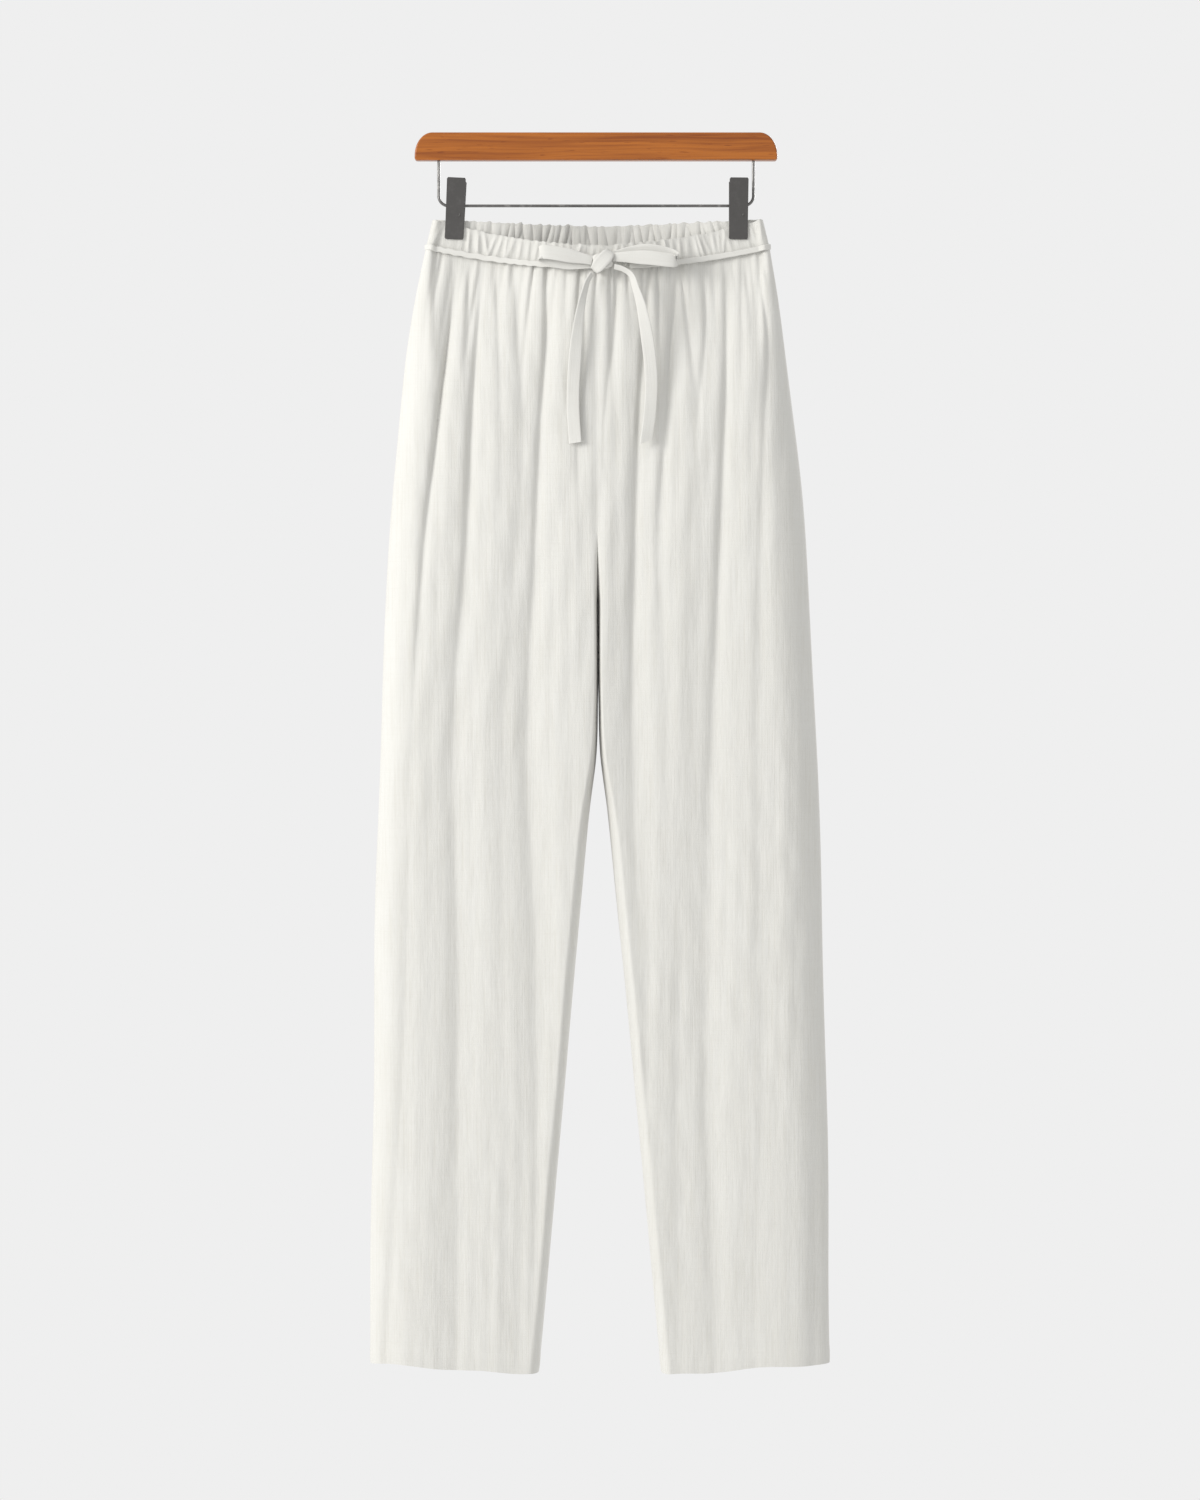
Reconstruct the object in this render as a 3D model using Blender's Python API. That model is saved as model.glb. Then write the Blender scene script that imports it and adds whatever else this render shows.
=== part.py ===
"""Linen drawstring trousers, hanging from a wooden bar hanger by two steel clips.

Run with: blender --background --python part.py

The frame is the hanger's: the origin is the middle of the bar's top face, +Z is up, +X is the
wearer's left and -Y is the front of the garment. Tables and sizes are in millimetres, and a
"drop" is a distance below the bar's top face.
"""

import math
from collections import namedtuple

import bmesh
import bpy
from mathutils import Quaternion, Vector

MM = 0.001
SEAM_GAP = 0.3          # between two pieces that are sewn or lie together
FRONT = -1              # the side of the garment that faces -Y
BACK = 1
RIGHT = -1              # the wearer's right, at -X
LEFT = 1

# ---------------------------------------------------------------- hanger sizes
BAR_LENGTH = 327.0
BAR_HEIGHT = 25.0
BAR_THICK = 12.0
BAR_END_ACROSS = 16.0   # the rounded upper corners are quarter ellipses
BAR_END_DOWN = 21.0
BAR_EDGE = 1.8
WIRE_RADIUS = 1.3
WIRE_HALF_SPAN = 142.0  # from the middle to each upright of the wire
WIRE_BEND = 9.0
WIRE_IN_BAR = 9.0
WIRE_HOLE_CLEARANCE = 0.35
ROD_DROP = 65.7
CLIP_WIDTH = 17.0
CLIP_PLATE = 1.0
CLIP_AT = {"right": -126.6, "left": 128.6}
CLIP_LEAN_DEG = {"right": 2.6, "left": 0.5}
EAR_HALF_HEIGHT = 5.2
EAR_PAST_ROD = 2.6
SPRING_OUTER = 3.7
SPRING_INNER = 2.3
SPRING_LENGTH = 8.4
EAR_AT = {FRONT: 6.0, BACK: 4.7}   # from a jaw's middle to the inside of each ear
EAR_HOLE_CLEARANCE = 0.9

# ---------------------------------------------------------------- garment sizes
CLOTH = 1.0             # a leg panel's wall
BAND = 2.2              # the waistband's wall: two layers of linen round an elastic
HEM = 1.8               # the hem's wall: the panel and its turn-up
HEM_DEPTH = 18.0
TAPE = 1.2
TAPE_WIDTH = 12.0       # the drawstring, pressed flat
TAPE_AT_WAIST = 5.6     # the same drawstring, folded lengthways round the waist
BAND_TOP_HALF = 149.0   # half the waist, measured flat
BAND_FLARE = 1.04       # the waistband's lower edge over its upper edge
PINCH_FROM = 116.0      # the clips hold the waist flat from here
PINCH_TO = 139.0        # to here, measured from its middle
PINCHED = 0.5 * BAND + SEAM_GAP
SIDE_LOOP = 5.0         # the rounding of the waistband's folded sides
WAIST_OPEN = {FRONT: 16.6, BACK: 18.0}  # how far the waist seam stands open beyond the clips' nip
DRAWN_IN = 3.0           # how much less the waistband's top edge stands open
SIDE_BULGE = 3.6
CROTCH_DROP = 422.0
CROTCH_CURVE = 70.0     # height of the curve in which the centre seams turn under
INSEAM_ROUND = 15.0
SIDE_ROUND = 38.0
FILL_OUT = 130.0        # below the waist seam the flat waist rounds out over this height

BAND_COLUMNS = 60
BAND_PUCKERS = 15
BAND_PUCKER_DEPTH = 0.6
PANEL_COLUMNS = 17
PANEL_ROWS = (
    123, 134, 152, 180, 215, 255, 300, 352, 378, 398, 412, 419, 422,
    462, 510, 560, 615, 680, 750, 830, 910, 1000, 1098,
)  # their drops at the middle of the front, closer together at the waist and the crotch

# The body, from the waist seam to the hem. half_width is from the middle to the side seam, leg_gap
# from the middle to the inseam, depth from the middle to the front or back, and sway moves a section.
Section = namedtuple("Section", "drop half_width leg_gap depth sway")
SECTIONS = (
    Section(103, 155.0, 0.0, 15.0, 1.6),
    Section(150, 163.8, 0.0, 22.0, 0.6),
    Section(190, 169.8, 0.0, 26.0, 0.0),
    Section(260, 178.2, 0.0, 30.0, 0.2),
    Section(330, 185.0, 0.0, 32.0, 0.9),
    Section(420, 190.8, 0.0, 32.5, 1.8),
    Section(510, 195.3, 0.2, 31.5, 2.0),
    Section(560, 197.2, 1.6, 31.0, 2.1),
    Section(610, 198.8, 7.8, 30.0, 2.2),
    Section(690, 201.2, 15.6, 28.5, 2.5),
    Section(780, 203.2, 24.3, 27.0, 3.0),
    Section(870, 204.6, 32.4, 25.5, 3.3),
    Section(960, 206.0, 40.7, 24.5, 3.5),
    Section(1050, 207.0, 48.8, 23.5, 3.6),
    Section(1117, 207.8, 55.0, 22.5, 3.6),
)

# The largest folds of each panel, soft troughs in the cloth, from the middle of the garment outwards.
# steps is how many columns of the panel lie between a fold and the one before it. The next six
# columns are how far the trough is from the middle at the levels below, and then how deep it is.
FOLD_DROPS = (124.0, 242.0, 422.0, 656.0, 890.0, 1106.0)
FOLD_SPACING = 7.0
FOLD_WIDTH = 9.5
FOLD_LIMIT = 0.35       # no fold takes up more than this share of the depth
Fold = namedtuple("Fold", "steps seam hip crotch knee shin hem d_seam d_hip d_crotch d_knee d_shin d_hem")
FOLDS = {
    (FRONT, RIGHT): (
        Fold(5, 49, 53, 60, 63, 52, 62, 4.0, 7.0, 7.0, 7.5, 5.0, 2.0),
        Fold(4, 108, 114, 123, 129, 122, 132, 4.0, 7.0, 6.5, 7.0, 6.5, 3.0),
        Fold(3, 127, 143, 165, 172, 181, 194, 3.5, 7.5, 4.0, 2.0, 4.0, 3.5),
    ),
    (FRONT, LEFT): (
        Fold(4, 42, 34, 28, 31, 50, 64, 4.0, 7.5, 8.5, 5.5, 0.0, 0.0),
        Fold(2, 68, 59, 52, 58, 70, 80, 5.0, 7.0, 3.5, 0.0, 0.0, 0.0),
        Fold(4, 113, 112, 103, 94, 94, 103, 4.0, 6.5, 7.5, 8.5, 6.5, 3.0),
        Fold(4, 140, 156, 175, 187, 188, 190, 2.0, 5.0, 3.5, 3.5, 5.0, 3.5),
    ),
    (BACK, RIGHT): (
        Fold(3, 22, 20, 24, 32, 50, 64, 3.5, 5.5, 3.5, 0.0, 0.0, 0.0),
        Fold(3, 58, 56, 50, 56, 70, 84, 4.0, 6.5, 7.0, 6.5, 4.0, 2.0),
        Fold(4, 97, 100, 108, 112, 118, 120, 4.0, 7.0, 6.5, 7.0, 5.5, 3.0),
        Fold(3, 131, 140, 150, 156, 160, 168, 3.5, 6.5, 5.5, 5.0, 3.5, 1.5),
    ),
    (BACK, LEFT): (
        Fold(3, 27, 24, 28, 34, 48, 62, 3.5, 6.5, 5.5, 3.0, 0.0, 0.0),
        Fold(3, 66, 70, 66, 74, 82, 92, 4.0, 7.0, 6.5, 7.0, 5.5, 3.0),
        Fold(4, 104, 110, 118, 120, 128, 126, 4.0, 6.5, 7.0, 6.5, 5.0, 2.0),
        Fold(3, 138, 146, 158, 164, 170, 176, 2.0, 5.0, 5.0, 4.0, 4.0, 2.0),
    ),
}

# ---------------------------------------------------------------- the bow
# Spines of the drawstring's free runs: across (X), out towards the viewer, drop, and how far the
# tape is turned from facing the front, in degrees about its own length.
Turn = namedtuple("Turn", "across out drop turned")
BOW_OUT = 25.6          # the knot's middle, in front of the hanger's plane
KNOT_AT = (6.0, 118.5)  # across, drop
KNOT_HALF = (8.0, 4.6, 7.0)
RIGHT_LOOP = (
    Turn(-3.5, 26.6, 118.0, 0),
    Turn(-16.0, 28.4, 115.5, 0),
    Turn(-32.0, 30.4, 112.6, 0),
    Turn(-45.0, 30.6, 110.8, 0),
    Turn(-49.8, 28.2, 111.6, 0),
    Turn(-46.0, 25.6, 114.4, 0),
    Turn(-32.0, 24.6, 118.6, 0),
    Turn(-16.0, 24.0, 120.4, 0),
    Turn(-4.5, 23.6, 120.6, 0),
)
LEFT_LOOP = (
    Turn(15.6, 26.8, 115.0, 0),
    Turn(30.0, 28.8, 115.2, 0),
    Turn(48.0, 30.2, 116.0, 0),
    Turn(64.0, 30.2, 117.8, 0),
    Turn(71.5, 28.0, 117.6, 0),
    Turn(66.0, 25.6, 113.2, 0),
    Turn(50.0, 24.8, 109.6, 0),
    Turn(32.0, 24.0, 110.0, 0),
    Turn(17.0, 23.6, 113.0, 0),
)
RIGHT_TAIL = (
    Turn(-3.6, 28.4, 130.0, -55),
    Turn(-8.1, 30.2, 139.0, -45),
    Turn(-13.4, 31.6, 160.7, -25),
    Turn(-18.0, 32.0, 196.7, -10),
    Turn(-20.6, 32.8, 241.7, 0),
    Turn(-18.6, 33.6, 282.0, 6),
)
LEFT_TAIL = (
    Turn(16.4, 31.2, 124.0, 50),
    Turn(24.0, 32.4, 126.4, 50),
    Turn(31.6, 33.2, 132.0, 45),
    Turn(35.6, 33.6, 143.6, 35),
    Turn(41.0, 33.8, 162.0, 20),
    Turn(46.6, 34.0, 194.0, 6),
    Turn(49.4, 34.2, 223.7, 0),
    Turn(48.6, 34.6, 252.0, -5),
    Turn(45.0, 35.0, 280.4, -12),
)

# Colour, roughness and metallic value of each material.
Finish = namedtuple("Finish", "colour rough metallic")
FINISHES = {
    "linen": Finish((0.86, 0.85, 0.80), 0.9, 0.0),
    "varnished_wood": Finish((0.45, 0.14, 0.035), 0.35, 0.0),
    "wire_steel": Finish((0.36, 0.35, 0.34), 0.35, 1.0),
    "clip_steel": Finish((0.10, 0.098, 0.095), 0.5, 0.6),
}


# ---------------------------------------------------------------- plain helpers
def clear_scene():
    for obj in list(bpy.data.objects):
        bpy.data.objects.remove(obj)


def material(slot):
    """The Principled material of a slot, made once."""
    found = bpy.data.materials.get(slot)
    if found:
        return found
    finish = FINISHES[slot]
    made = bpy.data.materials.new(slot)
    made.use_nodes = True
    shader = made.node_tree.nodes["Principled BSDF"]
    shader.inputs["Base Color"].default_value = (*finish.colour, 1.0)
    shader.inputs["Roughness"].default_value = finish.rough
    shader.inputs["Metallic"].default_value = finish.metallic
    return made


def add_object(name, data, slot):
    """Puts data in the scene under that name, with its material."""
    obj = bpy.data.objects.new(name, data)
    bpy.context.scene.collection.objects.link(obj)
    data.materials.append(material(slot))
    return obj


def solid(name, points, faces, slot, sharp_deg=50.0):
    """A closed mesh from points in millimetres and faces, its faces turned outwards."""
    mesh = bpy.data.meshes.new(name)
    mesh.from_pydata([Vector(p) * MM for p in points], [], faces)
    work = bmesh.new()
    work.from_mesh(mesh)
    bmesh.ops.recalc_face_normals(work, faces=work.faces)
    if work.calc_volume(signed=True) < 0.0:
        bmesh.ops.reverse_faces(work, faces=work.faces)
    work.to_mesh(mesh)
    work.free()
    mesh.shade_smooth()
    mesh.set_sharp_from_angle(angle=math.radians(sharp_deg))
    return add_object(name, mesh, slot)


def clamp(value, low=0.0, high=1.0):
    return max(low, min(high, value))


def mix(a, b, share):
    return a + (b - a) * share


def ease(share):
    """0 to 1 with a soft start and end."""
    share = clamp(share)
    return share * share * (3.0 - 2.0 * share)


def rounded(distance, radius):
    """The height of a quarter circle of that radius, as a share, at a distance in from its edge."""
    share = clamp(distance / radius)
    return math.sqrt(1.0 - (1.0 - share) ** 2)


def through(places, values, at):
    """A smooth curve through the values that stand at rising places."""
    last = len(places) - 1
    if at <= places[0]:
        return values[0]
    if at >= places[last]:
        return values[last]
    i = next(k for k in range(last) if at <= places[k + 1])
    span = places[i + 1] - places[i]

    def slope(k):
        low, high = max(k - 1, 0), min(k + 1, last)
        return (values[high] - values[low]) / (places[high] - places[low])

    t = (at - places[i]) / span
    return (
        values[i] * (1 + 2 * t) * (1 - t) ** 2
        + slope(i) * span * t * (1 - t) ** 2
        + values[i + 1] * t * t * (3 - 2 * t)
        + slope(i + 1) * span * t * t * (t - 1)
    )


def section(drop):
    """The garment's section at a drop, read from SECTIONS."""
    drops = [row.drop for row in SECTIONS]
    return Section(drop, *(through(drops, [row[k] for row in SECTIONS], drop) for k in range(1, 5)))


# ---------------------------------------------------------------- the cloth's form
def waist_drop(across, side, edge):
    """Drop of the waistband's top or seam edge. The front rise is cut lower than the back one."""
    share = clamp(abs(across) / BAND_TOP_HALF) ** 1.7
    middle, end = {
        (FRONT, "top"): (103.0, 78.0),
        (BACK, "top"): (82.0, 78.0),
        (FRONT, "seam"): (123.0, 103.0),
        (BACK, "seam"): (109.0, 103.0),
    }[side, edge]
    return mix(middle, end, share)


def hem_drop(across):
    """Drop of the hem's lower edge, which rises a little towards the side seam."""
    return mix(1117.0, 1109.0, ease((abs(across) - 60.0) / 140.0))


def waist_out(across, opening):
    """How far the waist stands out from the middle plane: open in the middle, nipped by the clips."""
    away = abs(across)
    swell = opening * math.cos(0.5 * math.pi * clamp(away / PINCH_FROM)) ** 2
    return PINCHED + swell + SIDE_BULGE * ease((away - PINCH_TO) / 6.0)


def fold_depth(x, drop, side, leg):
    """How far the folds draw the cloth in, at a distance from the middle."""
    total = 0.0
    for fold in FOLDS[side, leg]:
        at = through(FOLD_DROPS, fold[1:7], drop)
        deep = through(FOLD_DROPS, fold[7:13], drop)
        total += deep * math.exp(-(((x - at) / FOLD_WIDTH) ** 2))
    return total


def column_place(column, drop, side, leg, inner, outer):
    """How far a panel's column is from the middle at a drop. The first runs down the inner edge, the
    last down the side seam, and those between follow the folds."""
    marks, starts = [inner], [0]
    for fold in FOLDS[side, leg]:
        marks.append(max(marks[-1] + FOLD_SPACING, through(FOLD_DROPS, fold[1:7], drop)))
        starts.append(starts[-1] + fold.steps)
    marks.append(outer)
    starts.append(PANEL_COLUMNS)
    for k in reversed(range(1, len(marks) - 1)):
        marks[k] = min(marks[k], marks[k + 1] - FOLD_SPACING)
    i = next(k for k in range(len(marks) - 1) if column <= starts[k + 1])
    share = (column - starts[i]) / (starts[i + 1] - starts[i])
    if i == 0:
        share = 1.0 - math.cos(0.5 * math.pi * share)
    elif i == len(marks) - 2:
        share = math.sin(0.5 * math.pi * share)
    return mix(marks[i], marks[i + 1], share)


def row_drop(row, top, end):
    """Drop of a panel's row. Rows follow the waist seam and the hem, and lie level between them, so
    that those of the front and back panels meet at the crotch."""
    first, last = PANEL_ROWS[0], PANEL_ROWS[-1]
    at_top = 1.0 - ease((row - first) / 200.0)
    at_foot = ease((row - last + 300.0) / 300.0)
    return row + (top - first) * at_top + (end - last) * at_foot


def panel_point(column, row, side, leg, foot=0.0):
    """A point of a leg panel's outer face. column runs from the inner edge, 0, to the side seam, and
    row is one of PANEL_ROWS. The last row lies foot above the hem's edge."""
    x = 150.0 * column / PANEL_COLUMNS
    for _ in range(4):
        top = waist_drop(x / BAND_FLARE, side, "seam") + 1.5 * SEAM_GAP
        drop = row_drop(row, top, hem_drop(x) - foot)
        here = section(drop)
        inner = max(0.5 * SEAM_GAP, here.leg_gap)
        x = column_place(column, drop, side, leg, inner, here.half_width)
    filled = ease((drop - top) / FILL_OUT)
    out = mix(waist_out(x / BAND_FLARE, WAIST_OPEN[side]), here.depth, filled)
    side_round = mix(SIDE_LOOP, SIDE_ROUND, filled)
    turned_under = clamp((drop - CROTCH_DROP + CROTCH_CURVE) / CROTCH_CURVE)
    stands = math.sqrt(1.0 - turned_under**2)
    at_side = rounded(here.half_width - x, side_round)
    at_inseam = mix(rounded(x - inner, INSEAM_ROUND), 1.0, stands)
    folds = min(fold_depth(x, drop, side, leg), FOLD_LIMIT * out)
    y = 0.5 * SEAM_GAP + (out - folds) * at_side * at_inseam
    return (leg * x + here.sway, side * y, -drop)


def normals(grid, closed):
    """Unit normals of a grid of points, one for each point, all on one side of it."""
    rows, columns = len(grid), len(grid[0])
    found = []
    for r in range(rows):
        line = []
        for c in range(columns):
            before = grid[r][(c - 1) % columns] if closed else grid[r][max(c - 1, 0)]
            after = grid[r][(c + 1) % columns] if closed else grid[r][min(c + 1, columns - 1)]
            above, below = grid[max(r - 1, 0)][c], grid[min(r + 1, rows - 1)][c]
            along = Vector(after) - Vector(before)
            line.append(along.cross(Vector(below) - Vector(above)).normalized())
        found.append(line)
    return found


def wall(name, grid, thick, slot, inwards, keep=None, closed=False):
    """A cloth wall: the grid is its outer face and its inner face lies thick behind it. inwards says
    on which side of the grid the inner face is, 1 or -1. keep moves an inner point back to its own
    side of the seams, and closed joins the last column to the first."""
    rows, columns = len(grid), len(grid[0])
    facing = normals(grid, closed)
    points = [tuple(p) for row in grid for p in row]
    for r in range(rows):
        for c in range(columns):
            off = facing[r][c].copy()
            if r in (0, rows - 1):
                off.z = 0.0
                off.normalize()
            point = Vector(grid[r][c]) + inwards * thick * off
            points.append(keep(*point) if keep else tuple(point))
    inner = rows * columns
    faces = []
    last = columns if closed else columns - 1
    for r in range(rows - 1):
        for c in range(last):
            a, b = r * columns + c, r * columns + (c + 1) % columns
            faces.append((a, b, b + columns, a + columns))
            faces.append((a + inner, a + columns + inner, b + columns + inner, b + inner))
    for c in range(last):
        for row in (0, rows - 1):
            a, b = row * columns + c, row * columns + (c + 1) % columns
            faces.append((a, b, b + inner, a + inner))
    if not closed:
        for r in range(rows - 1):
            for column in (0, columns - 1):
                a, b = r * columns + column, (r + 1) * columns + column
                faces.append((a, b, b + inner, a + inner))
    return solid(name, points, faces, slot)


# ---------------------------------------------------------------- the garment's pieces
def own_side(x, y, z, side, leg=None):
    """Moves a point that has crossed the side seams' plane, or the middle one, back to its own side."""
    if leg:
        middle = section(-z).sway
        x = middle + leg * max(leg * (x - middle), 0.5 * SEAM_GAP)
    return (x, side * max(side * y, 0.5 * SEAM_GAP), z)


def add_leg_panel(name, side, leg):
    """One of the four cut panels, from the waist seam to the hem."""
    foot = HEM_DEPTH + SEAM_GAP
    grid = [
        [panel_point(column, row, side, leg, foot) for column in range(PANEL_COLUMNS + 1)]
        for row in PANEL_ROWS
    ]
    wall(name, grid, CLOTH, "linen", -side * leg, lambda x, y, z: own_side(x, y, z, side, leg))


def add_hem(name, leg):
    """The hem: a ring of turned-up cloth round the foot of a leg."""
    grid = []
    for height in (HEM_DEPTH, 0.0):
        columns = range(PANEL_COLUMNS + 1)
        front = [panel_point(column, PANEL_ROWS[-1], FRONT, leg, height) for column in columns]
        back = [panel_point(column, PANEL_ROWS[-1], BACK, leg, height) for column in reversed(columns)]
        grid.append(front + back)
    wall(name, grid, HEM, "linen", leg, closed=True)


def band_point(across, height, side, out=0.0):
    """A point of the waistband's outer face. across runs over the top edge, height from the seam, 0,
    to the top, 1, and out moves the point off the face."""
    x = across * mix(BAND_FLARE, 1.0, height)
    opening = WAIST_OPEN[side] - DRAWN_IN * height
    away = BAND_TOP_HALF - abs(across)
    pucker = BAND_PUCKER_DEPTH * math.sin(math.pi * BAND_PUCKERS * across / BAND_TOP_HALF)
    pucker *= ease((PINCH_FROM - abs(across)) / 8.0)
    y = waist_out(across, opening) + 0.5 * BAND + pucker + out
    drop = mix(waist_drop(across, side, "seam"), waist_drop(across, side, "top"), height)
    y = 0.5 * SEAM_GAP + y * rounded(away, SIDE_LOOP + out)
    return (x + math.copysign(out, across) * (1 - rounded(away, SIDE_LOOP)) + 1.6, side * y, -drop)


def add_waistband(name, side):
    """Half of the waistband, from side seam to side seam, with its puckers over the elastic."""
    sweep = [2.0 * c / BAND_COLUMNS - 1.0 for c in range(BAND_COLUMNS + 1)]
    sweep = [mix(s, math.sin(0.5 * math.pi * s), 0.55) for s in sweep]
    grid = [[band_point(BAND_TOP_HALF * s, h, side) for s in sweep] for h in (1.0, 0.0)]
    wall(name, grid, BAND, "linen", -side, lambda x, y, z: own_side(x, y, z, side))


def tape(name, spine, width, thick, tilt=None):
    """A flat tape along a spine of points. Its width stands upright across a level spine; with tilt, it
    faces the front and is turned about its own length by those degrees, one for each point."""
    points, count = [], len(spine)
    for i, place in enumerate(spine):
        ahead = Vector(spine[min(i + 1, count - 1)]) - Vector(spine[max(i - 1, 0)])
        ahead.normalize()
        if tilt:
            across = Quaternion(ahead, math.radians(tilt[i])) @ ahead.cross(Vector((0, -1, 0))).normalized()
        else:
            across = Vector((0, 0, 1))
        facing = across.cross(ahead).normalized()
        across = ahead.cross(facing)
        for a, b in ((-1, -1), (1, -1), (1, 1), (-1, 1)):
            points.append(Vector(place) + a * 0.5 * width * across + b * 0.5 * thick * facing)
    faces = [(3, 2, 1, 0), tuple(4 * (count - 1) + k for k in range(4))]
    for i in range(count - 1):
        for k in range(4):
            a, b = 4 * i + k, 4 * i + (k + 1) % 4
            faces.append((a, b, b + 4, a + 4))
    return solid(name, points, faces, "linen", 30.0)


def add_waist_tape(name, side, start, end, steps):
    """The drawstring where it lies round the waist, over the seam under the waistband."""
    off = BAND_PUCKER_DEPTH + 3 * SEAM_GAP + 0.5 * TAPE
    spine = []
    for i in range(steps + 1):
        share = mix(start, end, i / steps)
        across = BAND_TOP_HALF * (math.sin(0.5 * math.pi * share) if abs(share) > 0.2 else share * 1.5451)
        spine.append(band_point(across, 0.0, side, off))
    tape(name, spine, TAPE_AT_WAIST, TAPE)


def smooth_spine(rows, step_count):
    """Points and turns along a smooth curve through a table of Turn rows."""
    keys = list(range(len(rows)))
    spine, turns = [], []
    for i in range(step_count + 1):
        at = (len(rows) - 1) * i / step_count
        across, out, drop, turned = (through(keys, [row[k] for row in rows], at) for k in range(4))
        spine.append((across, -out, -drop))
        turns.append(turned)
    return spine, turns


def add_bow():
    """The knot, the two loops and the two hanging tails of the tied drawstring."""
    work = bmesh.new()
    bmesh.ops.create_uvsphere(work, u_segments=12, v_segments=7, radius=1.0)
    for vertex in work.verts:
        vertex.co = Vector(a * b * MM for a, b in zip(vertex.co, KNOT_HALF))
    mesh = bpy.data.meshes.new("bow_knot")
    work.to_mesh(mesh)
    work.free()
    mesh.shade_smooth()
    knot = add_object("bow_knot", mesh, "linen")
    knot.location = Vector((KNOT_AT[0], -BOW_OUT, -KNOT_AT[1])) * MM
    for name, rows in (("bow_loop_right", RIGHT_LOOP), ("bow_loop_left", LEFT_LOOP)):
        spine, _ = smooth_spine(rows, 20)
        tape(name, spine, TAPE_WIDTH, TAPE)
    for name, rows in (("drawstring_tail_right", RIGHT_TAIL), ("drawstring_tail_left", LEFT_TAIL)):
        spine, turns = smooth_spine(rows, 20)
        tape(name, spine, TAPE_WIDTH, TAPE, turns)


# ---------------------------------------------------------------- the hanger's pieces
def extrude_outline(name, outline, low, high, axis, slot):
    """A prism: the outline is a closed loop of 2-D points, stood up along axis X or Y."""
    def place(point, along):
        return (along, point[0], point[1]) if axis == "X" else (point[0], along, point[1])

    count = len(outline)
    points = [place(p, low) for p in outline] + [place(p, high) for p in outline]
    faces = [tuple(range(count)), tuple(reversed(range(count, 2 * count)))]
    faces += [(i, (i + 1) % count, (i + 1) % count + count, i + count) for i in range(count)]
    return solid(name, points, faces, slot, 40.0)


def cylinder_along_x(name, radius, start, end, slot, sides=16):
    ring = [(radius * math.cos(2 * math.pi * k / sides), radius * math.sin(2 * math.pi * k / sides))
            for k in range(sides)]
    return extrude_outline(name, ring, start, end, "X", slot)


def as_cutter(obj):
    obj.hide_render = True
    obj.display_type = "WIRE"
    return obj


def boolean(obj, other, operation):
    change = obj.modifiers.new(operation.lower(), "BOOLEAN")
    change.object = other
    change.operation = operation
    change.solver = "EXACT"


def add_bar():
    """The wooden bar, with rounded upper corners, eased edges and a hole for each end of the wire."""
    half = 0.5 * BAR_LENGTH
    corner = [
        (half - BAR_END_ACROSS + BAR_END_ACROSS * math.cos(a), -BAR_END_DOWN + BAR_END_DOWN * math.sin(a))
        for a in (0.5 * math.pi * k / 8 for k in range(9))
    ]
    right_side = [(half, -BAR_HEIGHT), *corner]
    outline = right_side + [(-x, z) for x, z in reversed(right_side)]
    bar = extrude_outline("hanger_bar", outline, -0.5 * BAR_THICK, 0.5 * BAR_THICK, "Y", "varnished_wood")
    edge = bar.modifiers.new("eased edges", "BEVEL")
    edge.width = BAR_EDGE * MM
    edge.segments = 2
    edge.limit_method = "ANGLE"
    edge.angle_limit = math.radians(50.0)
    for name, sign in (("wire_hole_right", RIGHT), ("wire_hole_left", LEFT)):
        radius = WIRE_RADIUS + WIRE_HOLE_CLEARANCE
        deep = WIRE_IN_BAR + 1.0
        work = bmesh.new()
        bmesh.ops.create_cone(work, cap_ends=True, segments=12, radius1=radius * MM, radius2=radius * MM,
                              depth=2.0 * deep * MM)
        mesh = bpy.data.meshes.new(name)
        work.to_mesh(mesh)
        work.free()
        cutter = as_cutter(add_object(name, mesh, "varnished_wood"))
        cutter.location = Vector((sign * WIRE_HALF_SPAN, 0.0, -BAR_HEIGHT)) * MM
        boolean(bar, cutter, "DIFFERENCE")


def add_wire():
    """One bent wire: down from the bar, round a bend, along as the rod, and up again."""
    path = [(-WIRE_HALF_SPAN, -BAR_HEIGHT + WIRE_IN_BAR)]
    bends = 6
    for sign in (RIGHT, LEFT):
        arc = []
        for k in range(bends + 1):
            angle = 0.5 * math.pi * k / bends
            arc.append((sign * (WIRE_HALF_SPAN - WIRE_BEND + WIRE_BEND * math.cos(angle)),
                        -ROD_DROP + WIRE_BEND - WIRE_BEND * math.sin(angle)))
        path += arc if sign == RIGHT else arc[::-1]
    path.append((WIRE_HALF_SPAN, -BAR_HEIGHT + WIRE_IN_BAR))
    curve = bpy.data.curves.new("hanger_wire", "CURVE")
    curve.dimensions = "3D"
    curve.bevel_depth = WIRE_RADIUS * MM
    curve.bevel_resolution = 2
    curve.use_fill_caps = True
    spline = curve.splines.new("POLY")
    spline.points.add(len(path) - 1)
    for point, (x, z) in zip(spline.points, path):
        point.co = (x * MM, 0.0, z * MM, 1.0)
    add_object("hanger_wire", curve, "wire_steel")


def jaw_outline():
    """The side view of a jaw's plate, as (out, up from the rod): it grips below and spreads above."""
    centre = [(12.4, 24.0), (9.6, 15.0), (7.4, 5.5), (6.4, 0.0), (5.4, -6.0), (3.9, -14.0), (3.75, -29.2)]
    half = 0.5 * CLIP_PLATE
    outer = [(y + half, z) for y, z in centre]
    inner = [(y - half, z) for y, z in centre]
    lip = [(centre[-1][0] + half, -30.6), (centre[-1][0] - half, -30.6)]
    return outer + lip + inner[::-1]


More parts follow.
